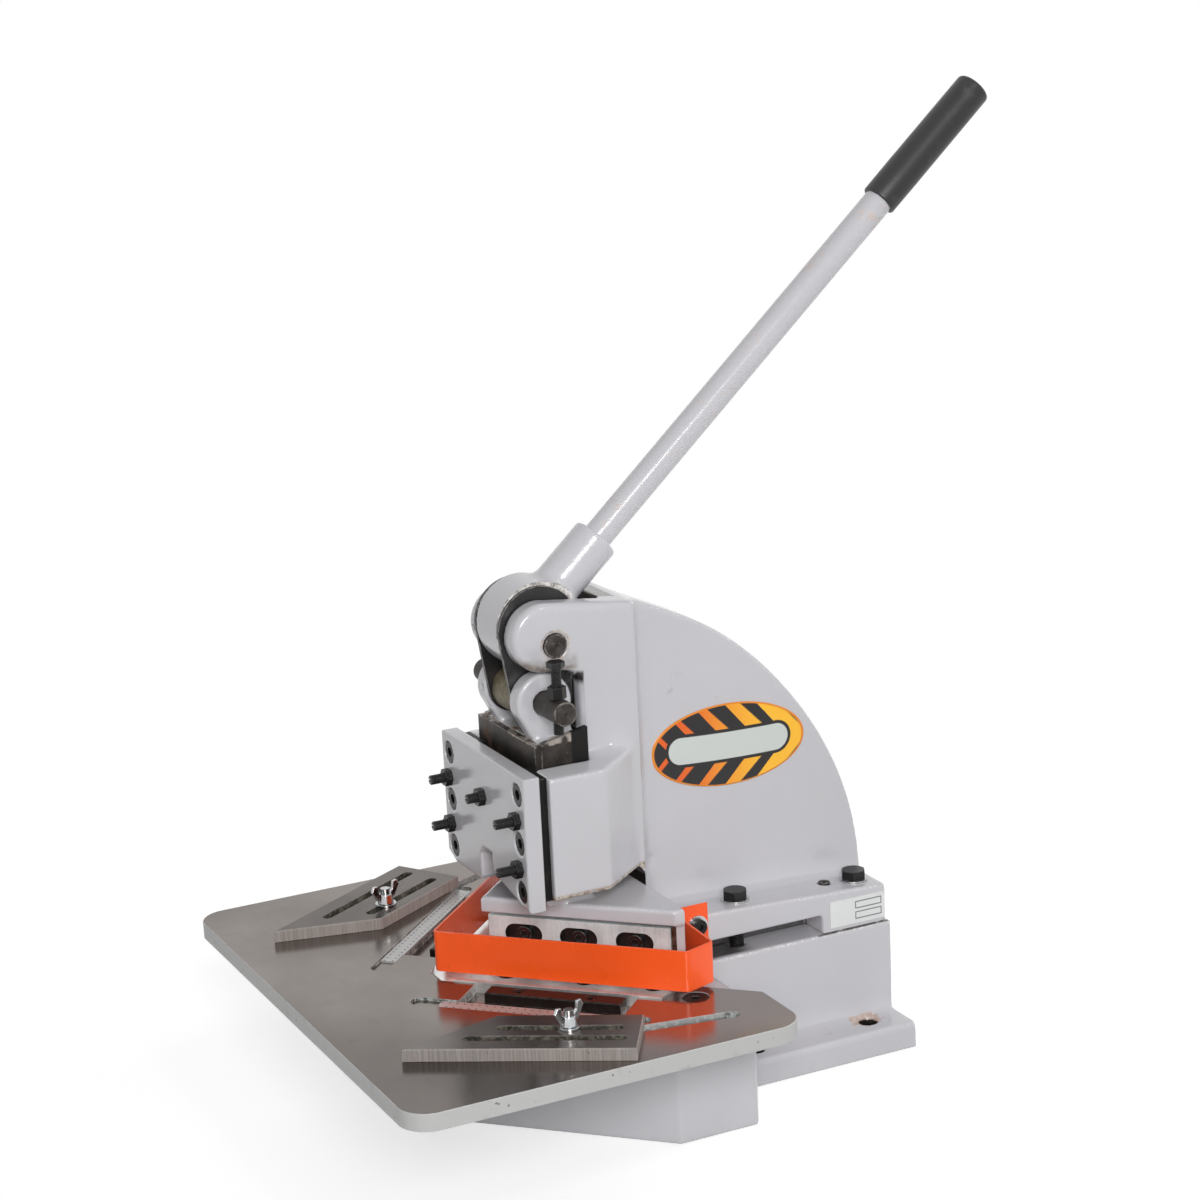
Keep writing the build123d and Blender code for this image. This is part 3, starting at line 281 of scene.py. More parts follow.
class Finish(Graph):
    """A material with its shader."""

    def __init__(self, name):
        self.material = bpy.data.materials.new(name)
        self.material.use_nodes = True
        super().__init__(self.material.node_tree)
        self.shader = self.tree.nodes["Principled BSDF"]

    def set(self, **values):
        """Sets the shader's own sockets. Underscores stand for spaces."""
        self.wire(self.shader, {key.replace("_", " "): value for key, value in values.items()})

    def coordinate(self, kind):
        """A texture coordinate in the object's own frame, whole and as its X, Y and Z."""
        if kind not in self.coordinates:
            whole = self.node("ShaderNodeTexCoord", out=kind)
            parts = self.node("ShaderNodeSeparateXYZ", sockets={0: whole}).socket.node.outputs
            self.coordinates[kind] = whole, [Value(self, part) for part in parts]
        return self.coordinates[kind]

    def axes(self):
        """X, Y and Z of the place, in metres of the frame."""
        return self.coordinate("Object")[1]

    def millimetres(self):
        """X, Y and Z of the place, in millimetres from the point of the cut."""
        if "mm" not in self.coordinates:
            x, y, z = self.axes()
            self.coordinates["mm"] = [x / MM, (y + BENCH_Y) / MM, z / MM]
        return self.coordinates["mm"]

    def facing(self):
        """X, Y and Z of the surface's normal."""
        return self.coordinate("Normal")[1]

    def stretched(self, scale):
        return self.node("ShaderNodeVectorMath", {"operation": "MULTIPLY"},
                         {0: self.coordinate("Object")[0], 1: scale})

    def noise(self, scale, detail=2.0, rough=0.5, where=None):
        return self.node("ShaderNodeTexNoise", {"noise_dimensions": "3D"},
                         {"Vector": where or self.coordinate("Object")[0], "Scale": scale,
                          "Detail": detail, "Roughness": rough})

    def cells(self, scale):
        return self.node("ShaderNodeTexVoronoi", {"feature": "F1"},
                         {"Vector": self.coordinate("Object")[0], "Scale": scale})

    def blend(self, mask, low, high):
        """Mixes two colours."""
        return self.node("ShaderNodeMix", {"data_type": "RGBA"}, {0: mask, 6: low, 7: high}, out=2)

    def tones(self, mask, colour, low, high):
        """Mixes a darker and a lighter tone of a colour."""
        return self.blend(mask, tone(colour, low), tone(colour, high))

    def coats(self, paint, *layers):
        """Lays (mask, colour) pairs over a first colour, in order."""
        for mask, coat in layers:
            paint = self.blend(mask, paint, coat)
        return paint

    def rounded(self, radius):
        """The normal with its edges rounded, for machined pieces."""
        return self.node("ShaderNodeBevel", {"samples": 4}, {"Radius": radius})

    def edges(self, radius, low, high):
        """1 along sharp edges, from how far the rounded normal leans."""
        normal = self.node("ShaderNodeNewGeometry", out="Normal")
        lean = self.node("ShaderNodeVectorMath", {"operation": "DOT_PRODUCT"},
                         {0: self.rounded(radius), 1: normal}, out="Value")
        return (1.0 - lean).above(low, high)

    def curvature(self):
        """About 0.5 on the flat, more on an edge and less in a corner."""
        return self.node("ShaderNodeNewGeometry", out="Pointiness")

    def hollow(self, reach, low=0.35, high=0.75):
        """1 deep inside slots and sockets of the same piece, 0 in the open."""
        shade = self.node("ShaderNodeAmbientOcclusion", {"samples": 8, "only_local": True},
                          {"Distance": reach}, out="AO")
        return shade.above(high, low)

    def bump(self, height, depth, normal=None):
        sockets = {"Height": height, "Distance": depth}
        if normal is not None:
            sockets["Normal"] = normal
        return self.node("ShaderNodeBump", {}, sockets)


def tone(colour, factor):
    """A colour made darker or lighter."""
    return tuple(min(1.0, channel * factor) for channel in colour)


def blade_axes(x, y):
    """Distance along a blade from the point of the cut, and out from its cutting line."""
    return (x + y) * DIAGONAL, (x - y) * DIAGONAL


# ---------------------------------------------------------------- finishes

def enamel(name, colour, primer, chips=1.0, lumps=1.0, bare=None, painted_glints=1.0):
    """Gloss enamel over a cast skin: faint drifts, specks, chipped edges, grime in the corners, painted
    shade in hollows and painted white glints along upper edges.
    """
    f = Finish(name)
    curve = f.curvature()
    drift = f.noise(7.0, 3.0).above(0.3, 0.7)
    patch = f.noise(23.0, 4.0, 0.6)
    grime = curve.above(0.472, 0.40) * f.noise(90.0, 5.0, 0.65).above(0.40, 0.75) * 0.60
    # painted shade: darker in the hollows that the piece shades itself, broken up by noise
    pocket = f.hollow(0.022, 0.25, 0.75) * f.noise(34.0, 4.0, 0.6).above(0.30, 0.70) * 0.40
    smudge = f.noise(21.0, 5.0, 0.75).above(0.655, 0.72)
    smudge = smudge * f.noise(240.0, 4.0, 0.7).above(0.42, 0.60) * 0.30
    speck = f.cells(260.0).above(0.13, 0.07) * f.noise(16.0, 2.0).above(0.56, 0.68)
    speck = speck * f.noise(120.0).above(0.58, 0.62) * chips
    chip_map = f.noise(150.0, 6.0, 0.7) * 0.6 + f.noise(28.0, 3.0) * 0.5
    chip = curve.above(0.54, 0.62) * chip_map.above(0.63, 0.70) * chips
    # painted highlights: white glints laid on as colour along convex edges of faces tilted upwards
    tilt = f.facing()[2].inside(0.22, 0.40, 0.90, 0.97)
    glint = curve.above(0.515, 0.56) * tilt * f.noise(420.0, 3.0, 0.6).above(0.50, 0.62) * painted_glints
    paint = f.coats(f.tones(drift, colour, 0.975, 1.02),
                    (patch.above(0.62, 0.76) * 0.10, (0.46, 0.40, 0.385)),
                    (grime, (0.19, 0.17, 0.155)),
                    (pocket, (0.25, 0.225, 0.205)),
                    (smudge, (0.24, 0.21, 0.185)),
                    (speck, (0.15, 0.13, 0.12)),
                    (chip, primer),
                    (glint * 0.85, WHITE))
    rough = f.between((chip + speck + grime).clamped(), f.between(patch, 0.15, 0.27), 0.62)
    if bare is not None:
        mottle = f.noise(210.0, 5.0, 0.75).above(0.38, 0.62)
        for mask, dark, light in bare(f):
            paint = f.blend(mask, paint, f.blend(mottle, dark, light))
            chip = chip + mask
    peel = f.noise(330.0, 1.0, 0.4) * 0.12 + f.noise(75.0, 3.0, 0.5)
    f.set(Base_Color=paint, Roughness=rough, IOR=1.5, Coat_Weight=0.4, Coat_Roughness=0.12,
          Normal=f.bump(peel * lumps - chip * 0.5 - speck * 0.7, 0.0005))
    return f.material


def bare_places(f):
    """Where the castings show metal or primer, and where shade is painted on: (mask, dark colour, light
    colour), as laid on.
    """
    x, y, z = f.millimetres()
    across = x.size()
    torn = f.noise(120.0, 5.0, 0.7)
    ragged = (torn - 0.5) * 4.0

    # rubbed paint round the upper pin, and along the rim of the hub
    pin_y, pin_z = from_cut(PIVOT)[1:]
    ring = (distance(y - pin_y, z - pin_z) + ragged).above(14.0, 12.5)
    ring = ring * across.above(PIN_END - 1.7, PIN_END - 1.4)
    yield ring * torn.above(0.40, 0.52) * 0.8, (0.30, 0.235, 0.18), (0.66, 0.50, 0.38)
    hub_y, hub_z = from_cut(HUB)[1:]
    hub = distance(y - hub_y, z - hub_z) + ragged * 0.5
    rim = hub.inside(31.0, 32.5, 38.0, 38.8)
    rim = rim * across.inside(HUB_HALF - 2.4, HUB_HALF - 1.2, HUB_HALF + 0.8, HUB_HALF + 1.8)
    yield rim * y.above(hub_y + 34.0, hub_y + 28.0), (0.16, 0.145, 0.135), (0.78, 0.75, 0.72)

    # the ram's underside, the top of its stem, and the lip over the upper blades
    under = (z + ragged).above(194.5, 192.5) * z.above(186.0, 188.0) * y.above(134.4, 129.4)
    yield under * torn.above(0.34, 0.5), (0.24, 0.19, 0.15), (0.62, 0.55, 0.47)
    stem = z.inside(WEAR_TOP - 2.5, WEAR_TOP - 0.5, WEAR_TOP + 1.0, WEAR_TOP + 2.5)
    stem = stem * across.above(STEM_HALF, STEM_HALF - 0.5) * y.above(STEM_BACK + 0.9, STEM_BACK - 0.1)
    yield stem * f.noise(55.0, 5.0, 0.7).above(0.50, 0.60), (0.16, 0.10, 0.06), (0.60, 0.46, 0.36)
    lip = (z + ragged).above(163.0, 160.5) * z.above(150.0, 152.0) * (across - y).above(0.0, 3.0)
    yield lip * torn.above(0.47, 0.58) * 0.9, (0.22, 0.20, 0.18), (0.62, 0.61, 0.59)

    # painted shade, near black, on unlit walls: the throat, the right bench holes, the gap under the
    # flange, the slot by the ears
    throat = y.inside(116.9, 117.9, 128.9, 129.9) * z.inside(150.0, 152.0, 191.5, 192.5)
    throat = throat * f.facing()[1].above(-0.35, -0.5)
    holes = [distance(x - BOLT_X, y - bolt_y) for bolt_y in BOLT_Y]
    hole = holes[0].least(holes[1]).above(BOLT_R + 0.4, BOLT_R - 0.1) * z.above(24.5, 23.5)
    gap = z.inside(BASE_TOP - 1.5, BASE_TOP - 0.5, BASE_TOP + 2.0, BASE_TOP + 6.0)
    gap = gap * across.above(60.0, 56.0) * y.above(220.4, 196.4)
    low_gap = z.inside(BASE_TOP + 0.2, BASE_TOP + 0.8, BASE_TOP + 11.0, BASE_TOP + 14.0)
    gap = gap.most(low_gap * across.above(37.0, 35.5))
    inner = y.inside(STEM_BACK - 1.4, STEM_BACK - 0.6, STEM_BACK + 3.9, STEM_BACK + 4.9)
    inner = inner * z.inside(297.0, 299.0, 360.0, 364.0)
    inner = inner * across.above(47.5, 46.5)
    shade = across.above(33.0, 29.0).most(z.above(349.0, 356.0), across.above(42.5, 43.6) * 0.7)
    yield throat.most(hole, gap * 0.85, inner * shade), (0.008, 0.007, 0.006), (0.030, 0.024, 0.020)

    # painted shade on the floor of the head's slot, the soiled chin of the cheeks, and painted shade on the
    # ends of the blade seats
    floor = across.above(22.0, 21.2) * y.inside(98.4, 99.9, 115.9, 117.9)
    floor = floor * z.inside(385.0, 390.0, HEAD_TOP - 5.3, HEAD_TOP - 4.0)
    yield floor, (0.018, 0.014, 0.012), (0.085, 0.066, 0.055)
    chin = z.inside(364.0, 367.0, 372.5, 381.5) * y.inside(4.4, 8.4, 68.4, 74.4)
    chin = chin * (across - 32.0).size().above(12.5, 11.5)
    yield chin * f.noise(60.0, 5.0, 0.7).above(0.26, 0.50) * 0.85, (0.16, 0.125, 0.10), (0.34, 0.29, 0.25)
    along, off = blade_axes(across, y)
    end = along.inside(155.2, 155.6, 160.2, 160.6) * off.above(-4.0, -3.0)
    yield end * z.inside(127.0, 128.0, 160.6, 161.2), (0.020, 0.013, 0.010), (0.10, 0.062, 0.045)

    # the seam between frame and base, and rubbed paint round the rear bench hole
    seam = (z + ragged * 0.15).inside(BASE_TOP - 1.0, BASE_TOP - 0.5, BASE_TOP + 1.0, BASE_TOP + 1.6)
    seam = seam * across.above(60.0, 61.5) * y.above(270.4, 274.4)
    yield seam * torn.above(0.36, 0.46) * 0.85, (0.035, 0.030, 0.027), (0.16, 0.14, 0.125)
    foot = holes[0] + (f.noise(40.0, 5.0, 0.75) - 0.5) * 50.0
    foot = foot.above(13.5, 10.5) * z.inside(20.0, 21.5, 24.0, 26.0)
    yield foot * 0.8, (0.42, 0.27, 0.20), (0.60, 0.46, 0.39)


def plate_places(f):
    """Painted shade on the walls of the front plate's notch and counterbores."""
    plate_hollow_shade = f.hollow(0.010, 0.25, 0.62) * (1.0 - f.facing()[1].above(-0.90, -0.97))
    yield plate_hollow_shade * f.noise(90.0, 4.0).above(0.20, 0.45) * 0.9, (0.05, 0.038, 0.030), (0.20, 0.16, 0.13)


def ground_plate(name, top, rim, edge, bright, walls, rough=(0.13, 0.30), brushed=1.0,
                 painted_reflection=0.0, milled=0.0):
    """A plate with ground faces under a painted reflection, painted and pitted edges, and rough slot walls.
    """
    f = Finish(name)
    x, y = f.millimetres()[:2]
    upward = f.facing()[2].above(0.80, 0.95)
    streak = f.noise(1.0, 3.0, 0.6, f.stretched((34.0, 1500.0, 400.0)))
    stain = f.noise(19.0, 5.0, 0.7).above(0.60, 0.78)
    steel = f.coats(f.tones(f.noise(6.0, 4.0, 0.6).above(0.3, 0.7), top, 0.88, 1.12),
                    (streak.above(0.35, 0.65) * (0.20 * brushed), tone(top, 1.5)),
                    (stain * 0.30, (0.16, 0.125, 0.10)),
                    # painted reflection: the top lighter towards the rear right and darker towards the
                    # front right
                    ((x + y).above(30.0, 240.0) * painted_reflection, tone(top, 1.9)),
                    ((x - y).above(80.0, 300.0) * painted_reflection, tone(top, 0.25)))
    cut = f.noise(1.0, 3.0, 0.6, f.stretched((800.0, 800.0, 20.0))).above(0.40, 0.66)
    pits = f.cells(120.0).above(0.15, 0.07) * f.noise(60.0).above(0.55, 0.62)
    crumb = f.noise(330.0, 4.0, 0.8) * 0.7 + f.noise(90.0, 3.0, 0.6) * 0.3
    side = f.coats(rim, (pits, (0.20, 0.185, 0.17)),
                   (f.noise(45.0, 5.0, 0.7).above(0.55, 0.72) * 0.35, (0.27, 0.255, 0.24)),
                   (cut * milled, tone(rim, 2.0)),
                   (f.hollow(0.014, 0.66, 0.93), f.tones(crumb.above(0.44, 0.58), walls, 0.15, 1.0)))
    brink = f.edges(edge * 1.6, 0.03, 0.16) * f.noise(70.0, 4.0).above(0.35, 0.55)
    shine = f.between(streak * 0.6 + stain * 0.6, *rough)
    crumbs = (crumb * 0.5 + f.noise(160.0, 3.0) * 0.6 - pits) * (1.0 - upward)
    height = streak * upward * (0.04 * brushed) + crumbs
    f.set(Base_Color=f.coats(side, (upward, steel), (brink * 0.55, bright)),
          Metallic=f.between(upward, 0.05, 0.96), Roughness=f.between(upward, 0.45, shine),
          Normal=f.bump(height, 0.0004, f.rounded(edge)), Specular_Tint=(0.45, 0.43, 0.42, 1.0))
    return f.material


def machined(name, colour, metal=1.0, rough=(0.22, 0.40), edge=0.0006, grain=(60.0, 60.0, 900.0),
             worn=(0.7, 0.69, 0.68), wear=0.6, stain=(0.10, 0.08, 0.06), stained=0.25,
             pocket=0.006, gloss=0.5, slots=None):
    """Cut or ground metal: grain along one axis, stains, painted shade in pockets and bright broken edges.
    """
    f = Finish(name)
    run = f.noise(1.0, 3.0, 0.6, f.stretched(grain))
    cloud = f.noise(40.0, 4.0, 0.6)
    blot = f.noise(85.0, 5.0, 0.7).above(0.55, 0.75)
    brink = f.edges(edge * 1.5, 0.03, 0.18) * f.noise(190.0, 4.0).above(0.38, 0.55) * wear
    # painted shade: near black and not metallic in pockets found by occlusion, or in the given slots
    pocket_shade = f.hollow(pocket) if slots is None else slots(f)
    f.set(Base_Color=f.coats(f.tones(cloud.above(0.3, 0.7), colour, 0.85, 1.15),
                             (run.above(0.4, 0.62) * 0.22, tone(colour, 1.45)),
                             (blot * stained, stain), (brink, worn), (pocket_shade, PAINTED_POCKET_SHADE)),
          Metallic=(1.0 - pocket_shade) * metal, Specular_IOR_Level=gloss,
          Roughness=f.between((run * 0.6 + blot * 0.5).clamped(), *rough),
          Normal=f.bump(run * 0.7 + cloud * 0.5, 0.00012, f.rounded(edge)))
    return f.material


def blade_slots(f):
    """1 inside the long slots of the upper blades, where shade is painted."""
    x, y, z = f.millimetres()
    along, off = blade_axes(x.size(), y)
    runs = [(along - middle).size() for middle in (30.3, 77.4, 125.0)]
    end = (runs[0].least(runs[1]).least(runs[2]) - 7.5).most(0.0)
    return distance(end, z - 144.0).above(9.0, 8.7) * off.above(-0.6, -1.0)


def rusted(name, colour, rust, edge, back):
    """Dark bare steel with scale, rust and ragged bright edges, and painted shade, near black, behind a
    plane.
    """
    f = Finish(name)
    x, y, z = f.millimetres()
    cloud = f.noise(55.0, 6.0, 0.7)
    run = f.noise(1.0, 5.0, 0.65, f.stretched((120.0, 120.0, 24.0)))
    patch = (run * 0.6 + cloud * 0.5 - x * 0.0014).above(0.61, 0.74)
    fleck = f.noise(420.0, 4.0, 0.7).above(0.64, 0.74)
    crest = (z + (f.noise(150.0, 5.0, 0.75) - 0.5) * 5.5).above(WEAR_TOP - 1.5, WEAR_TOP - 0.5)
    brink = (f.edges(edge * 2.0, 0.03, 0.16) * f.noise(150.0, 4.0).above(0.45, 0.6)).most(
        crest * f.noise(80.0, 4.0).above(0.40, 0.55))
    f.set(Base_Color=f.coats(f.tones(cloud.above(0.35, 0.65), colour, 0.6, 1.6), (patch * 0.60, rust),
                             (fleck * 0.4, (0.42, 0.34, 0.27)), (brink * 0.7, (0.52, 0.46, 0.41)),
                             # painted shade: near black behind the plane at back, standing for the dark gap
                             # behind the plates
                             (y.above(back, back + 1.0), (0.006, 0.005, 0.0045))),
          Metallic=f.between(patch, 0.55, 0.1), Roughness=f.between(patch, 0.40, 0.85),
          Normal=f.bump(cloud + fleck * 0.3 + brink * 0.4, 0.0005, f.rounded(edge)))
    return f.material


def powder_coat(name, colour, edge):
    """Satin powder coat with fine orange peel and a few specks."""
    f = Finish(name)
    speck = f.cells(160.0).above(0.10, 0.05) * f.noise(60.0).above(0.62, 0.68)
    drift = f.tones(f.noise(14.0, 3.0).above(0.3, 0.7), colour, 0.93, 1.05)
    f.set(Base_Color=f.blend(speck * 0.8, drift, (0.20, 0.04, 0.02)),
          Roughness=f.between(f.noise(20.0, 3.0), 0.22, 0.34),
          Normal=f.bump(f.noise(700.0, 2.0), 0.00006, f.rounded(edge)),
          Specular_IOR_Level=0.35, Coat_Weight=0.2, Coat_Roughness=0.12)
    return f.material


def rubber(name):
    """Black moulded grip: fine texture, dull scuffs and a soft shine."""
    f = Finish(name)
    scuff = f.noise(60.0, 5.0, 0.7).above(0.52, 0.75)
    f.set(Base_Color=f.blend(scuff, (0.014, 0.014, 0.015), (0.045, 0.044, 0.046)),
          Roughness=f.between(scuff, 0.38, 0.58), Normal=f.bump(f.noise(900.0, 2.0), 0.00005))
    return f.material


def threaded(name, colour, pitch, axis, span, edge):
    """Black oxide steel with thread crests between two heights along an axis."""
    f = Finish(name)
    run = f.axes()[axis]
    cloud = f.noise(200.0, 4.0)
    crest = (run * (2.0 * math.pi / pitch)).sine()
    crest = crest * run.inside(span[0], span[0] + 0.0004, span[1] - 0.0004, span[1])
    crest = crest * (1.0 - f.facing()[axis].size().above(0.3, 0.5))
    wear = f.edges(edge * 1.5, 0.04, 0.2) * f.noise(300.0, 3.0).above(0.4, 0.6) * 0.35
    wear = (wear + crest.above(0.6, 1.0) * 0.15).clamped()
    f.set(Base_Color=f.blend(wear, f.tones(cloud, colour, 0.7, 1.6), (0.22, 0.215, 0.21)),
          Metallic=0.15, Roughness=f.between(cloud, 0.22, 0.40), Specular_IOR_Level=0.4,
          Normal=f.bump(crest * 0.5 + cloud * 0.1, pitch * 0.45, f.rounded(edge)))
    return f.material


def scale_strip(name, side, middle=86.5, pitch=6.35, half_gap=3.8):
    """Satin strip with two rows of small punched dots along its length."""
    f = Finish(name)
    x, y = f.millimetres()[:2]
    along, off = blade_axes(x * side, y)
    cell = (along / pitch).fraction() - 0.5
    rows = [distance(cell, (off - middle + row) / pitch) for row in (half_gap, -half_gap)]
    dots = rows[0].least(rows[1]).above(0.17, 0.11)
    cloud = f.noise(45.0, 4.0)
    strip = f.blend(cloud, (0.42, 0.425, 0.42), (0.58, 0.585, 0.58))
    f.set(Base_Color=f.blend(dots, strip, (0.06, 0.055, 0.05)), Metallic=0.55,
          Roughness=f.between(cloud, 0.30, 0.45), Normal=f.bump(cloud * 0.1 - dots, 0.0003))
    return f.material


def bands(name, look, middle, reach):
    """Domed badge: slanted bands in warm colours on a dark ground, a plain pale bar and a thin rim."""
    f = Finish(name)
    dy, dz = (value - place for value, place in zip(f.axes()[1:], middle[1:]))
    cos, sin = math.cos(look.tilt), math.sin(look.tilt)
    u = (dy * cos + dz * sin) / reach[0]
    v = (dz * cos - dy * sin) / reach[1]
    stripe = (u * 2.6 + v.size() * 1.15).fraction()
    width = u.above(-1.1, 1.2) * 0.55 + 0.18
    warm = f.blend(u.above(-0.7, 0.6), look.warm, look.light)
    end = (u.size() - 0.62).most(0.0) * (reach[0] / reach[1])
    around = distance(end, (v - (u * u - 0.3) * 0.06).size())
    paint = f.coats(look.dark, ((width - stripe).above(-0.03, 0.03), warm),
                    (around.above(0.415, 0.395), look.dark), (around.above(0.335, 0.315), look.pale),
                    (distance(u, v).above(0.955, 0.97), look.rim))
    f.set(Base_Color=paint, Roughness=0.25, Specular_IOR_Level=0.3, Coat_Weight=0.3, Coat_Roughness=0.05)
    return f.material


def blank_plate(name, low, high):
    """Pale satin label with two empty ruled boxes."""
    f = Finish(name)
    u, v = ((f.axes()[axis] - low[axis]) / (high[axis] - low[axis]) for axis in (1, 2))
    across = ((u - 0.70).size() - 0.235) / 0.40
    boxes = [across.most((v - middle).size() - 0.125).size().above(0.030, 0.012)
             for middle in (0.70, 0.30)]
    cloud = f.noise(60.0, 3.0)
    plate = f.blend(cloud, (0.68, 0.69, 0.69), (0.78, 0.79, 0.79))
    f.set(Base_Color=f.blend(boxes[0].most(boxes[1]), plate, (0.16, 0.16, 0.16)), Metallic=0.15,
          Roughness=f.between(cloud, 0.30, 0.42), Normal=f.bump(cloud, 0.00004))
    return f.material


def turned(name, colour, centre, edge, rust, rim):
    """A turned pin: rings on its ends, scuffed brown bark on its side."""
    f = Finish(name)
    dy, dz = (value - place for value, place in zip(f.axes()[1:], centre[1:]))
    radius = distance(dy, dz)
    lean = f.facing()[0].size()
    end = lean.above(0.8, 0.95)
    rings = (radius * (2.0 * math.pi / 0.0008)).sine()
    cloud = f.noise(130.0, 5.0, 0.7)
    dimple = radius.above(0.0016, 0.0009) * end
    lip = radius.above(rim - 0.0017, rim - 0.0011) * lean.above(0.2, 0.4)
    brink = f.edges(edge * 1.5, 0.04, 0.2).most(lip) * f.noise(300.0, 3.0).above(0.35, 0.6)
    paint = f.coats(f.blend(cloud.above(0.35, 0.7), colour, tone(colour, 2.2)),
                    (end * rings.above(-0.4, 1.0) * 0.30, tone(colour, 3.2)),
                    (end * f.noise(700.0, 3.0, 0.7).above(0.62, 0.70) * 0.6, (0.45, 0.40, 0.36)),
                    (f.noise(60.0, 5.0, 0.7).above(0.60, 0.75) * 0.4, rust),
                    (dimple, (0.02, 0.018, 0.016)),
                    (brink * 0.4, (0.42, 0.39, 0.36)))
    f.set(Base_Color=paint, Metallic=0.4, Roughness=f.between(cloud, 0.36, 0.58), Specular_IOR_Level=0.3,
          Normal=f.bump(cloud * 0.5 + rings * end * 0.4 - dimple * 2.0, 0.0002, f.rounded(edge)))
    return f.material


# ---------------------------------------------------------------- meshes

def link(piece):
    bpy.context.scene.collection.objects.link(piece)
    return piece


def both(name):
    """The names of a right and left pair of nodes."""
    return [name + "_right", name + "_left"]


def paint_nodes(material, *nodes):
    """Gives CAD nodes' own slots a finish."""
    for node in nodes:
        piece = frame["nodes"][node]
        if not piece.material_slots:
            piece.data.materials.append(material)
        for slot in piece.material_slots:
            slot.material = material


def new_piece(name, mesh, body, slot, material, *replaced):
    piece = link(bpy.data.objects.new(name, mesh))
    mesh.materials.clear()
    mesh.materials.append(material)
    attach(piece, body)
    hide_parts(*replaced)
    return piece


def read_vectors(items, key):
    """One property of all vertices, as rows of three."""
    values = np.empty(len(items) * 3)
    items.foreach_get(key, values)
    return values.reshape(-1, 3)


def write_points(mesh, points):
    mesh.vertices.foreach_set("co", points.ravel())
    mesh.update()


def pull_to_neighbours(points, edges, count):
    """How far each point lies from the middle of its neighbours."""
    total = np.zeros_like(points)
    for axis in range(3):
        for here, there in ((0, 1), (1, 0)):
            total[:, axis] += np.bincount(
                edges[:, here], weights=points[edges[:, there], axis], minlength=len(points))
    return total / count[:, None] - points


def foundry_skin(node, size, rounding, fillets=(), fillet_passes=0):
    """A cast copy of a CAD node: even faces, soft edges, and filled inner corners in the boxes given."""
    draft = link(bpy.data.objects.new(node + "_draft", frame["nodes"][node].data.copy()))
    remesh = draft.modifiers.new("skin", "REMESH")
    remesh.mode = "VOXEL"
    remesh.voxel_size = size
    graph = bpy.context.evaluated_depsgraph_get()
    mesh = bpy.data.meshes.new_from_object(draft.evaluated_get(graph))
    bpy.data.objects.remove(draft)
    points = read_vectors(mesh.vertices, "co")
    edges = np.empty(len(mesh.edges) * 2, dtype=np.int64)
    mesh.edges.foreach_get("vertices", edges)
    edges = edges.reshape(-1, 2)
    count = np.maximum(np.bincount(edges.ravel(), minlength=len(points)), 1)
    for _ in range(rounding):
        points += 0.5 * pull_to_neighbours(points, edges, count)
    write_points(mesh, points)
    near = np.zeros(len(points), dtype=bool)
    for low, high in fillets:
        near |= np.all((points > np.array(low)) & (points < np.array(high)), axis=1)
    if near.any():
        for turn in range(fillet_passes):
            if turn % 5 == 0:      # the normals change slowly
                write_points(mesh, points)
                out = read_vectors(mesh.vertex_normals, "vector")[near]
            pull = pull_to_neighbours(points, edges, count)[near]
            # only outwards, so that hollows fill and edges stay
            lift = np.maximum(np.sum(pull * out, axis=1) - 0.004 * size, 0.0)
            points[near] += 0.8 * lift[:, None] * out
        for _ in range(2):
            points[near] += 0.5 * pull_to_neighbours(points, edges, count)[near]
        write_points(mesh, points)
    mesh.shade_smooth()
    mesh.name = node + "_skin"
    return mesh


def at(x, y, z):
    """A point in millimetres from the point of the cut, as metres in the frame."""
    return (x * MM, y * MM - BENCH_Y, z * MM)


def bridge(bm, rows):
    """Faces between closed rings of points. A ring of one point is a pole."""
    for low, high in zip(rows, rows[1:]):
        sides = max(len(low), len(high))
        for i in range(sides):
            j = (i + 1) % sides
            if len(low) == 1:
                bm.faces.new((low[0], high[j], high[i]))
            elif len(high) == 1:
                bm.faces.new((low[i], low[j], high[0]))
            else:
                bm.faces.new((low[i], low[j], high[j], high[i]))


def finished_mesh(name, bm, degrees):
    """Makes a mesh of a draft, smooth except at edges sharper than an angle."""
    bmesh.ops.recalc_face_normals(bm, faces=bm.faces)
    mesh = bpy.data.meshes.new(name)
    bm.to_mesh(mesh)
    bm.free()
    mesh.shade_smooth()
    mesh.set_sharp_from_angle(angle=math.radians(degrees))
    return mesh


def turns(sides):
    """Angles round a circle."""
    return [2.0 * math.pi * i / sides for i in range(sides)]


def lathe(name, origin, axis, profile, sides):
    """A turned mesh from (distance along the axis, radius) pairs."""
    axis = Vector(axis).normalized()
    side = axis.orthogonal().normalized()
    third = axis.cross(side)
    bm = bmesh.new()
    rings = []
    for along, radius in profile:
        middle = Vector(origin) + axis * along
        rings.append([bm.verts.new(middle + (side * math.cos(turn) + third * math.sin(turn)) * radius)
                      for turn in (turns(sides) if radius > 0 else [0.0])])
    bridge(bm, rings)
    return finished_mesh(name, bm, 40)


def round_corner(before, corner, after, radius, steps):
    """Points of an arc that rounds a corner of a plan path."""
    a = (before - corner).normalized()
    b = (after - corner).normalized()
    half = math.acos(max(-1.0, min(1.0, a.dot(b)))) / 2
    reach = radius / math.tan(half)
    centre = corner + (a + b).normalized() * (radius / math.sin(half))
    first = corner + a * reach - centre
    last = corner + b * reach - centre
    return [centre + first.slerp(last, i / steps).normalized() * radius for i in range(steps + 1)]


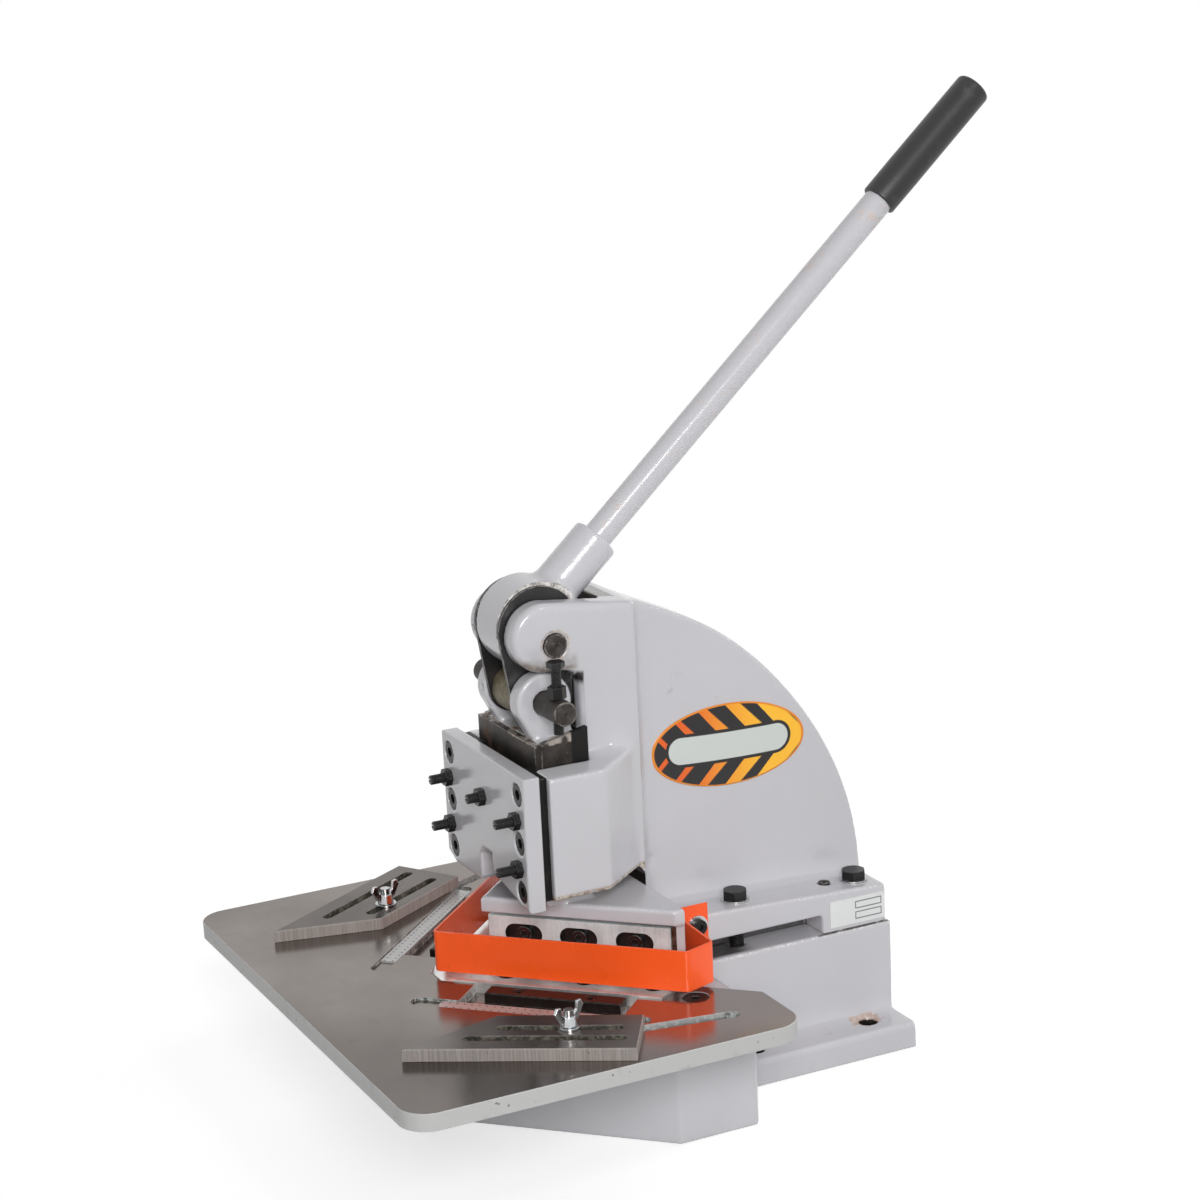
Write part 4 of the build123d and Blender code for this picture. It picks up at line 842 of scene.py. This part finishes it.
def ribbon(name, path, thick, low, high, lip):
    """A bent sheet standing on edge along a plan path, with its rims slightly rounded."""
    bm = bmesh.new()
    inset = 0.5 - lip / thick
    section = [(-0.5, low + lip), (-inset, low), (inset, low), (0.5, low + lip),
               (0.5, high - lip), (inset, high), (-inset, high), (-0.5, high - lip)]
    rows = []
    for i, point in enumerate(path):
        back = point - path[max(i - 1, 0)]
        ahead = path[min(i + 1, len(path) - 1)] - point
        run = ((back if back.length > 0 else ahead).normalized()
               + (ahead if ahead.length > 0 else back).normalized()).normalized()
        rows.append([bm.verts.new((point.x - run.y * across * thick, point.y + run.x * across * thick, z))
                     for across, z in section])
    bridge(bm, rows)
    bm.faces.new(rows[0][::-1])
    bm.faces.new(rows[-1])
    return finished_mesh(name, bm, 25)


# ---------------------------------------------------------------- operators

def mirrored(*boxes):
    """Boxes on the right, each with its twin on the left."""
    return [twin for low, high in boxes
            for twin in ((low, high), ((-high[0], *low[1:]), (-low[0], *high[1:])))]


CASTINGS = {
    # node: (body, share of the skin size, boxes in millimetres where inner corners are filled)
    "frame": ("stand", 1.0, [((-26.5, 100, 119), (26.5, 345, 178)), ((-60, 96, 186), (60, 150, 425)),
                             *mirrored(((44.5, 60, 286), (82, 121, 330)))]),
    "base": ("stand", 1.0, mirrored(((55, 150, 15), (104, 345, 45)), ((55, 140, 0), (75, 165, 101)))),
    "ram": ("ram", 0.8, [((-52, 20, 168), (52, 125, 195)), ((-52, 20, 300), (52, 75, 330))]),
    "lever_hub": ("lever", 0.65, [((-20, 20, 340), (20, 200, 560))]),
}
HUB_FILLETS = 3                # times the usual passes, where the socket grows out of the hub
PLATE_SKIN = 0.0008
WING_SKIN = 0.00033
M8_PITCH, M12_PITCH = 0.00125, 0.00175
FRAME_BOLT_THREAD = (0.09, 0.118)      # its lowest and highest point

LEAN = 42                      # the handle's angle above +Y at rest, in degrees
# the grip, in millimetres: the handle's offset from the pivot, and places along it
HANDLE_OFF, GRIP_START, GRIP_END, GRIP_R, GRIP_BORE = 11.5, 458.0, 586.0, 15.0, 12.2
GRIP_MOUTH, GRIP_NOSE, GRIP_SWELL = 1.4, 3.2, 30.0

# the guard's right half in plan, in millimetres, from its tab round to the middle of the front
GUARD_PLAN = [(64, 167.5), (64, 134), (142.5, 130), (151.5, 103), (0, -48.5)]
DOME = [(1.0, 0.0), (1.0, 0.45), (0.993, 0.75), (0.975, 0.95), (0.94, 1.08), (0.85, 1.2),
        (0.6, 1.35), (0.3, 1.42), (0.0, 1.45)]      # the badge: (share of its reach, height in mm)
DOME_SIDES = 96

LAMPS = (
    # name, place, target, size, power, seen in mirrored surfaces
    ("key", (2.74, -1.14, 1.58), (0.0, -0.1, 0.2), 1.2, 68.0, True),
    ("glint", (1.9, 0.7, 2.6), (0.0, 0.0, 0.3), 0.30, 5.0, True),
    ("left", (-2.7, 0.1, 0.8), (0.0, 0.0, 0.2), 1.4, 40.0, False),
    ("top", (0.5, 0.6, 3.2), (0.0, 0.0, 0.2), 1.8, 3.0, False),
    ("back", (0.2, 2.9, 1.6), (0.0, 0.0, 0.3), 1.2, 26.0, False),
)
WORLD_LIGHT = 0.24             # how much the white world lights what the camera sees
FLOOR_REACH, FLOOR_DROP = 12.0, 0.0005
FLOOR_GLOW = 0.60              # lifts the floor towards white for the camera, so its shadows stay soft
FLOOR_FADE = (0.45, 1.0)       # distances from the middle between which the floor turns white


class NOTCHER_OT_castings(bpy.types.Operator):
    """Casts the frame, base, ram and lever hub in painted foundry skins"""
    bl_idname = "notcher.castings"
    bl_label = "Castings"

    def execute(self, context):
        look = looks().castings
        material = enamel("enamel_castings", look.enamel, look.primer, bare=bare_places)
        size = look.skin * 1.0
        for node, (body, share, boxes) in CASTINGS.items():
            boxes = [(at(*low), at(*high)) for low, high in boxes]
            rounds = look.fillet * (HUB_FILLETS if node == "lever_hub" else 1)
            mesh = foundry_skin(node, size * share, look.rounding, boxes, rounds)
            new_piece(node + "_casting", mesh, body, "grey_castings", material, node)
        return {"FINISHED"}


class NOTCHER_OT_front_plate(bpy.types.Operator):
    """Paints the front plate"""
    bl_idname = "notcher.front_plate"
    bl_label = "Front plate"

    def execute(self, context):
        look = looks().castings
        mesh = foundry_skin("front_plate", PLATE_SKIN * (1.0), rounding=2)
        material = enamel("enamel_plate", tone(look.enamel, 0.97), look.primer, chips=0.8, lumps=0.4,
                          bare=plate_places, painted_glints=0.4)
        new_piece("front_plate_cover", mesh, "stand", "grey_castings", material, "front_plate")
        return {"FINISHED"}


class NOTCHER_OT_table(bpy.types.Operator):
    """Finishes the ground table plate"""
    bl_idname = "notcher.table"
    bl_label = "Table"

    def execute(self, context):
        steel = looks().steel
        paint_nodes(ground_plate("ground_table_top", steel.ground, (0.50, 0.50, 0.495), steel.edge,
                                 steel.bright, (0.46, 0.49, 0.47), brushed=0.4, painted_reflection=0.5), "table")
        return {"FINISHED"}


class NOTCHER_OT_blades(bpy.types.Operator):
    """Finishes the upper and lower blades, clamp bars and scale strips"""
    bl_idname = "notcher.blades"
    bl_label = "Blades and bars"

    def execute(self, context):
        steel = looks().steel
        stain = (0.20, 0.16, 0.13)
        paint_nodes(machined("blade_steel_upper", (0.66, 0.74, 0.75), 0.25, (0.30, 0.50), steel.edge,
                             (500.0, 500.0, 30.0), stained=0.20, stain=stain, slots=blade_slots),
                    *both("upper_blade"))
        paint_nodes(machined("blade_steel_lower", steel.bright, 0.80, (0.26, 0.46), steel.edge,
                             (40.0, 40.0, 500.0), stained=0.35, stain=stain, pocket=0.008),
                    *both("lower_blade"))
        paint_nodes(machined("bar_black", (0.018, 0.012, 0.011), 0.3, (0.25, 0.42), steel.edge,
                             (300.0, 300.0, 60.0), worn=(0.35, 0.33, 0.32), wear=0.5, gloss=0.2),
                    *both("clamp_bar"))
        paint_nodes(scale_strip("scale_strip_right", side=1.0), "ruler_right")
        paint_nodes(scale_strip("scale_strip_left", side=-1.0), "ruler_left")
        return {"FINISHED"}


class NOTCHER_OT_gauges(bpy.types.Operator):
    """Finishes the gauges, their bolts, washers and wing nuts"""
    bl_idname = "notcher.gauges"
    bl_label = "Gauges"

    def execute(self, context):
        steel = looks().steel
        # the gauges' slot wall colour (0.15, 0.14, 0.11) is painted shade
        paint_nodes(ground_plate("gauge_steel", (0.25, 0.237, 0.228), (0.25, 0.226, 0.211), steel.edge,
                                 (0.55, 0.53, 0.52), (0.15, 0.14, 0.11), rough=(0.20, 0.34), brushed=0.5,
                                 milled=0.35), *both("gauge"))
        zinc = machined("zinc_plate", (0.50, 0.51, 0.52), 1.0, (0.10, 0.24), 0.0004, (300.0, 300.0, 300.0),
                        wear=0.3, stained=0.10)
        paint_nodes(zinc, *both("gauge_bolt"), *both("gauge_washer"))
        for node in both("wing_nut"):
            mesh = foundry_skin(node, WING_SKIN, rounding=2)
            new_piece(node + "_cast", mesh, node, "zinc_plate", zinc, node)
        return {"FINISHED"}


class NOTCHER_OT_slides(bpy.types.Operator):
    """Finishes the wear plates and gib strips"""
    bl_idname = "notcher.slides"
    bl_label = "Slides"

    def execute(self, context):
        steel = looks().steel
        paint_nodes(rusted("wear_steel", (0.030, 0.0245, 0.021), steel.rust, steel.edge, back=57.0),
                    "ram_wear_plate", *both("ram_side_plate"))
        paint_nodes(machined("gib_black", (0.005, 0.0047, 0.0045), 0.1, (0.35, 0.6), steel.edge,
                             (80.0, 80.0, 500.0), wear=0.3, gloss=0.2), *both("gib"))
        return {"FINISHED"}


class NOTCHER_OT_linkage(bpy.types.Operator):
    """Finishes the pins, straps and roller, and the stop bolt"""
    bl_idname = "notcher.linkage"
    bl_label = "Linkage"

    def execute(self, context):
        steel = looks().steel
        for node, middle in (("upper_pin", PIVOT), ("lower_pin", LOWER)):
            low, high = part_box(node)
            paint_nodes(turned("turned_" + node, (0.025, 0.0210, 0.0190), middle, steel.edge, steel.rust,
                               (high[2] - low[2]) / 2), node)
        paint_nodes(turned("roller_bronze", (0.105, 0.088, 0.055), LOWER, steel.edge, (0.10, 0.075, 0.04),
                           rim=0.05), "roller")
        # the straps' edges: bright wear, lightened further as a painted highlight
        paint_nodes(machined("strap_black", (0.034, 0.033, 0.034), 0.5, (0.24, 0.44), steel.edge,
                             (60.0, 400.0, 400.0), worn=(0.62, 0.58, 0.54), wear=0.7, gloss=0.4),
                    *both("strap"))
        low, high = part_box("stop_bolt")
        head = 0.007
        paint_nodes(threaded("stop_thread", steel.dark, M8_PITCH, 2, (low[2], high[2] - head), steel.edge),
                    "stop_bolt")
        return {"FINISHED"}


class NOTCHER_OT_fasteners(bpy.types.Operator):
    """Finishes the screws, bolts, nuts, washers and dowels"""
    bl_idname = "notcher.fasteners"
    bl_label = "Fasteners"

    def execute(self, context):
        steel = looks().steel
        fine, coarse = (400.0, 400.0, 400.0), (300.0, 300.0, 300.0)
        paint_nodes(machined("black_oxide", steel.dark, 0.15, (0.20, 0.36), steel.edge, fine,
                             worn=(0.20, 0.195, 0.19), wear=0.35, stained=0.10, pocket=0.004, gloss=0.25),
                    "lower_blade_screws", "clamp_bar_screws", "plate_screws", "lock_nuts", "stop_nut",
                    "guard_screws", "handle_set_screw")
        paint_nodes(machined("screw_gloss", (0.012, 0.0125, 0.013), 0.1, (0.12, 0.24), steel.edge, fine,
                             worn=(0.30, 0.30, 0.30), wear=0.6, stained=0.0, pocket=0.003, gloss=0.8),
                    "upper_blade_screws")
        low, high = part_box("adjusting_screws")
        paint_nodes(threaded("adjuster_thread", steel.dark, M8_PITCH, 1, (low[1], high[1]), steel.edge),
                    "adjusting_screws")
        paint_nodes(threaded("bolt_thread", steel.dark, M12_PITCH, 2, FRAME_BOLT_THREAD, steel.edge),
                    "frame_bolts")
        paint_nodes(machined("washer_zinc", (0.55, 0.55, 0.56), 1.0, (0.22, 0.4), 0.0004, coarse,
                             stained=0.3), "frame_washers", "guard_washers")
        paint_nodes(machined("worn_screw", (0.016, 0.014, 0.013), 0.3, (0.25, 0.45), steel.edge, coarse,
                             stained=0.6, pocket=0.004, gloss=0.25), "table_screws", "frame_dowels")
        return {"FINISHED"}


class NOTCHER_OT_handle(bpy.types.Operator):
    """Paints the rod and moulds the grip"""
    bl_idname = "notcher.handle"
    bl_label = "Handle"

    def execute(self, context):
        look = looks().castings
        paint_nodes(enamel("enamel_rod", look.enamel, look.primer, chips=0.4, lumps=0.15, painted_glints=0.0),
                    "handle_rod")
        lean = math.radians(LEAN)
        axis = Vector((0, math.cos(lean), math.sin(lean)))
        origin = PIVOT + Vector((0, -math.sin(lean), math.cos(lean))) * HANDLE_OFF * MM
        profile = [(GRIP_START + 0.6, GRIP_BORE + 0.1), (GRIP_START, GRIP_BORE + 0.8),
                   (GRIP_START, GRIP_R - GRIP_MOUTH)]
        for i in range(1, 6):
            turn = math.radians(90 * i / 5)
            profile.append((GRIP_START + GRIP_MOUTH * (1 - math.cos(turn)),
                            GRIP_R - GRIP_MOUTH * (1 - math.sin(turn))))
        profile += [(GRIP_START + GRIP_SWELL, GRIP_R + 0.15), (GRIP_END - GRIP_SWELL, GRIP_R + 0.05)]
        for i in range(8):
            turn = math.radians(90 * i / 7)
            profile.append((GRIP_END - GRIP_NOSE * (1 - math.sin(turn)),
                            GRIP_R - GRIP_NOSE * (1 - math.cos(turn))))
        profile += [(GRIP_END + 0.3, GRIP_R * 0.4), (GRIP_END + 0.35, 0.0)]
        mesh = lathe("grip_sleeve", origin, axis, [(a * MM, r * MM) for a, r in profile], sides=72)
        new_piece("grip_sleeve", mesh, "lever", "black_grip", rubber("grip_rubber"), "grip")
        return {"FINISHED"}


class NOTCHER_OT_guard(bpy.types.Operator):
    """Bends the orange guard from sheet"""
    bl_idname = "notcher.guard"
    bl_label = "Finger guard"

    def execute(self, context):
        look = looks().guard
        low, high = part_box("finger_guard")
        plan = GUARD_PLAN + [(-x, y) for x, y in GUARD_PLAN[-2::-1]]
        corners = [Vector(at(x, y, 0)[:2]) for x, y in plan]
        path = [corners[0]]
        for before, corner, after in zip(corners, corners[1:], corners[2:]):
            path += round_corner(before, corner, after, look.bend, steps=6)
        path.append(corners[-1])
        mesh = ribbon("guard_sheet", path, look.thick, low[2], high[2], lip=0.0003)
        new_piece("guard_sheet", mesh, "stand", "orange_guard",
                  powder_coat("orange_coat", look.coat, edge=0.0004), "finger_guard")
        return {"FINISHED"}


class NOTCHER_OT_badge(bpy.types.Operator):
    """Domes the badge and finishes the blank plate"""
    bl_idname = "notcher.badge"
    bl_label = "Badge and plate"

    def execute(self, context):
        look = looks().badge
        low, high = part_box("badge")
        middle = (Vector(low) + Vector(high)) / 2
        cos, sin = math.cos(look.tilt), math.sin(look.tilt)
        # the half axes of the tilted ellipse that just fills the badge's box
        square_y, square_z = ((high[axis] - low[axis]) ** 2 / 4 for axis in (1, 2))
        shrink = cos ** 4 - sin ** 4
        reach = (math.sqrt((square_y * cos ** 2 - square_z * sin ** 2) / shrink),
                 math.sqrt((square_z * cos ** 2 - square_y * sin ** 2) / shrink))
        bm = bmesh.new()
        rows = []
        for share, height in DOME:
            row = []
            for turn in (turns(DOME_SIDES) if share > 0 else [0.0]):
                u = reach[0] * share * math.cos(turn)
                v = reach[1] * share * math.sin(turn)
                row.append(bm.verts.new((low[0] + height * MM, middle[1] + u * cos - v * sin,
                                         middle[2] + u * sin + v * cos)))
            rows.append(row)
        bridge(bm, rows)
        bm.faces.new(rows[0][::-1])
        new_piece("badge_dome", finished_mesh("badge_dome", bm, 50), "stand", "domed_badge",
                  bands("badge_bands", look, middle, reach), "badge")
        paint_nodes(blank_plate("plate_blank", *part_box("data_plate")), "data_plate")
        return {"FINISHED"}


class NOTCHER_OT_stage(bpy.types.Operator):
    """Sets the floor, lamps, world and camera"""
    bl_idname = "notcher.stage"
    bl_label = "Stage"

    def execute(self, context):
        look = looks().stage
        bpy.context.scene.view_settings.view_transform = "Standard"
        self.set_camera(look)
        self.set_world()
        self.set_floor(look)
        for name, place, target, size, power, mirrored_too in LAMPS:
            data = bpy.data.lights.new(name, "AREA")
            data.size = size
            data.energy = power
            lamp = link(bpy.data.objects.new(name, data))
            lamp.location = place
            lamp.rotation_euler = (Vector(target) - Vector(place)).to_track_quat("-Z", "Y").to_euler()
            lamp.visible_glossy = mirrored_too
        return {"FINISHED"}

    def set_camera(self, look):
        a, e, r = look.azimuth, look.elevation, look.roll
        ahead = Vector((-math.sin(a) * math.cos(e), math.cos(a) * math.cos(e), -math.sin(e)))
        right = Vector((math.cos(a), math.sin(a), 0.0))
        up = right.cross(ahead)
        rolled_right = right * math.cos(r) + up * math.sin(r)
        rolled_up = up * math.cos(r) - right * math.sin(r)
        data = bpy.data.cameras.new("camera")
        data.sensor_width = 36.0
        data.lens = look.lens
        camera = link(bpy.data.objects.new("camera", data))
        turn = Matrix((rolled_right, rolled_up, -ahead)).transposed().to_4x4()
        camera.matrix_world = Matrix.Translation(look.place) @ turn
        bpy.context.scene.camera = camera

    def set_world(self):
        world = bpy.data.worlds.new("studio")
        world.use_nodes = True
        bpy.context.scene.world = world
        graph = Graph(world.node_tree)
        level = graph.between(graph.seen(), WORLD_LIGHT, 1.0)
        graph.wire(graph.tree.nodes["Background"], {"Color": WHITE, "Strength": level})

    def set_floor(self, look):
        bm = bmesh.new()
        bmesh.ops.create_grid(bm, x_segments=1, y_segments=1, size=FLOOR_REACH)
        mesh = bpy.data.meshes.new("floor")
        bm.to_mesh(mesh)
        bm.free()
        f = Finish("pale_floor")
        seen = f.seen()
        far = distance(*f.axes()[:2]).above(*FLOOR_FADE)
        white = f.node("ShaderNodeEmission", {}, {"Color": WHITE, "Strength": 1.0})
        f.set(Base_Color=look.floor, Roughness=0.9, Specular_IOR_Level=0.1,
              Emission_Color=WHITE, Emission_Strength=seen * FLOOR_GLOW)
        mixed = f.node("ShaderNodeMixShader", {},
                       {0: seen * far, 1: Value(f, f.shader.outputs[0]), 2: white})
        f.wire(f.tree.nodes["Material Output"], {"Surface": mixed})
        mesh.materials.append(f.material)
        floor = link(bpy.data.objects.new("floor", mesh))
        floor.location.z = -FLOOR_DROP


class NOTCHER_PT_panel(bpy.types.Panel):
    """Lists what dresses the notcher"""
    bl_label = "Corner notcher"
    bl_idname = "NOTCHER_PT_panel"
    bl_space_type = "VIEW_3D"
    bl_region_type = "UI"
    bl_category = "Notcher"

    def draw(self, context):
        for operator in OPERATORS:
            self.layout.operator(operator.bl_idname)
        for name in NotcherLooks.__annotations__:
            group = getattr(looks(), name)
            box = self.layout.box()
            for key in group.__annotations__:
                box.prop(group, key)


OPERATORS = (NOTCHER_OT_stage, NOTCHER_OT_castings, NOTCHER_OT_front_plate, NOTCHER_OT_table,
             NOTCHER_OT_blades, NOTCHER_OT_gauges, NOTCHER_OT_slides, NOTCHER_OT_linkage,
             NOTCHER_OT_fasteners, NOTCHER_OT_handle, NOTCHER_OT_guard, NOTCHER_OT_badge)
CLASSES = (CastingLooks, SteelLooks, GuardLooks, BadgeLooks, StageLooks, NotcherLooks, *OPERATORS,
           NOTCHER_PT_panel)


def register():
    for cls in CLASSES:
        bpy.utils.register_class(cls)
    bpy.types.Scene.notcher = bpy.props.PointerProperty(type=NotcherLooks)


def unregister():
    del bpy.types.Scene.notcher
    for cls in reversed(CLASSES):
        bpy.utils.unregister_class(cls)


def main():
    register()
    for operator in OPERATORS:
        group, name = operator.bl_idname.split(".")
        getattr(getattr(bpy.ops, group), name)()


if __name__ == "__main__":
    main()
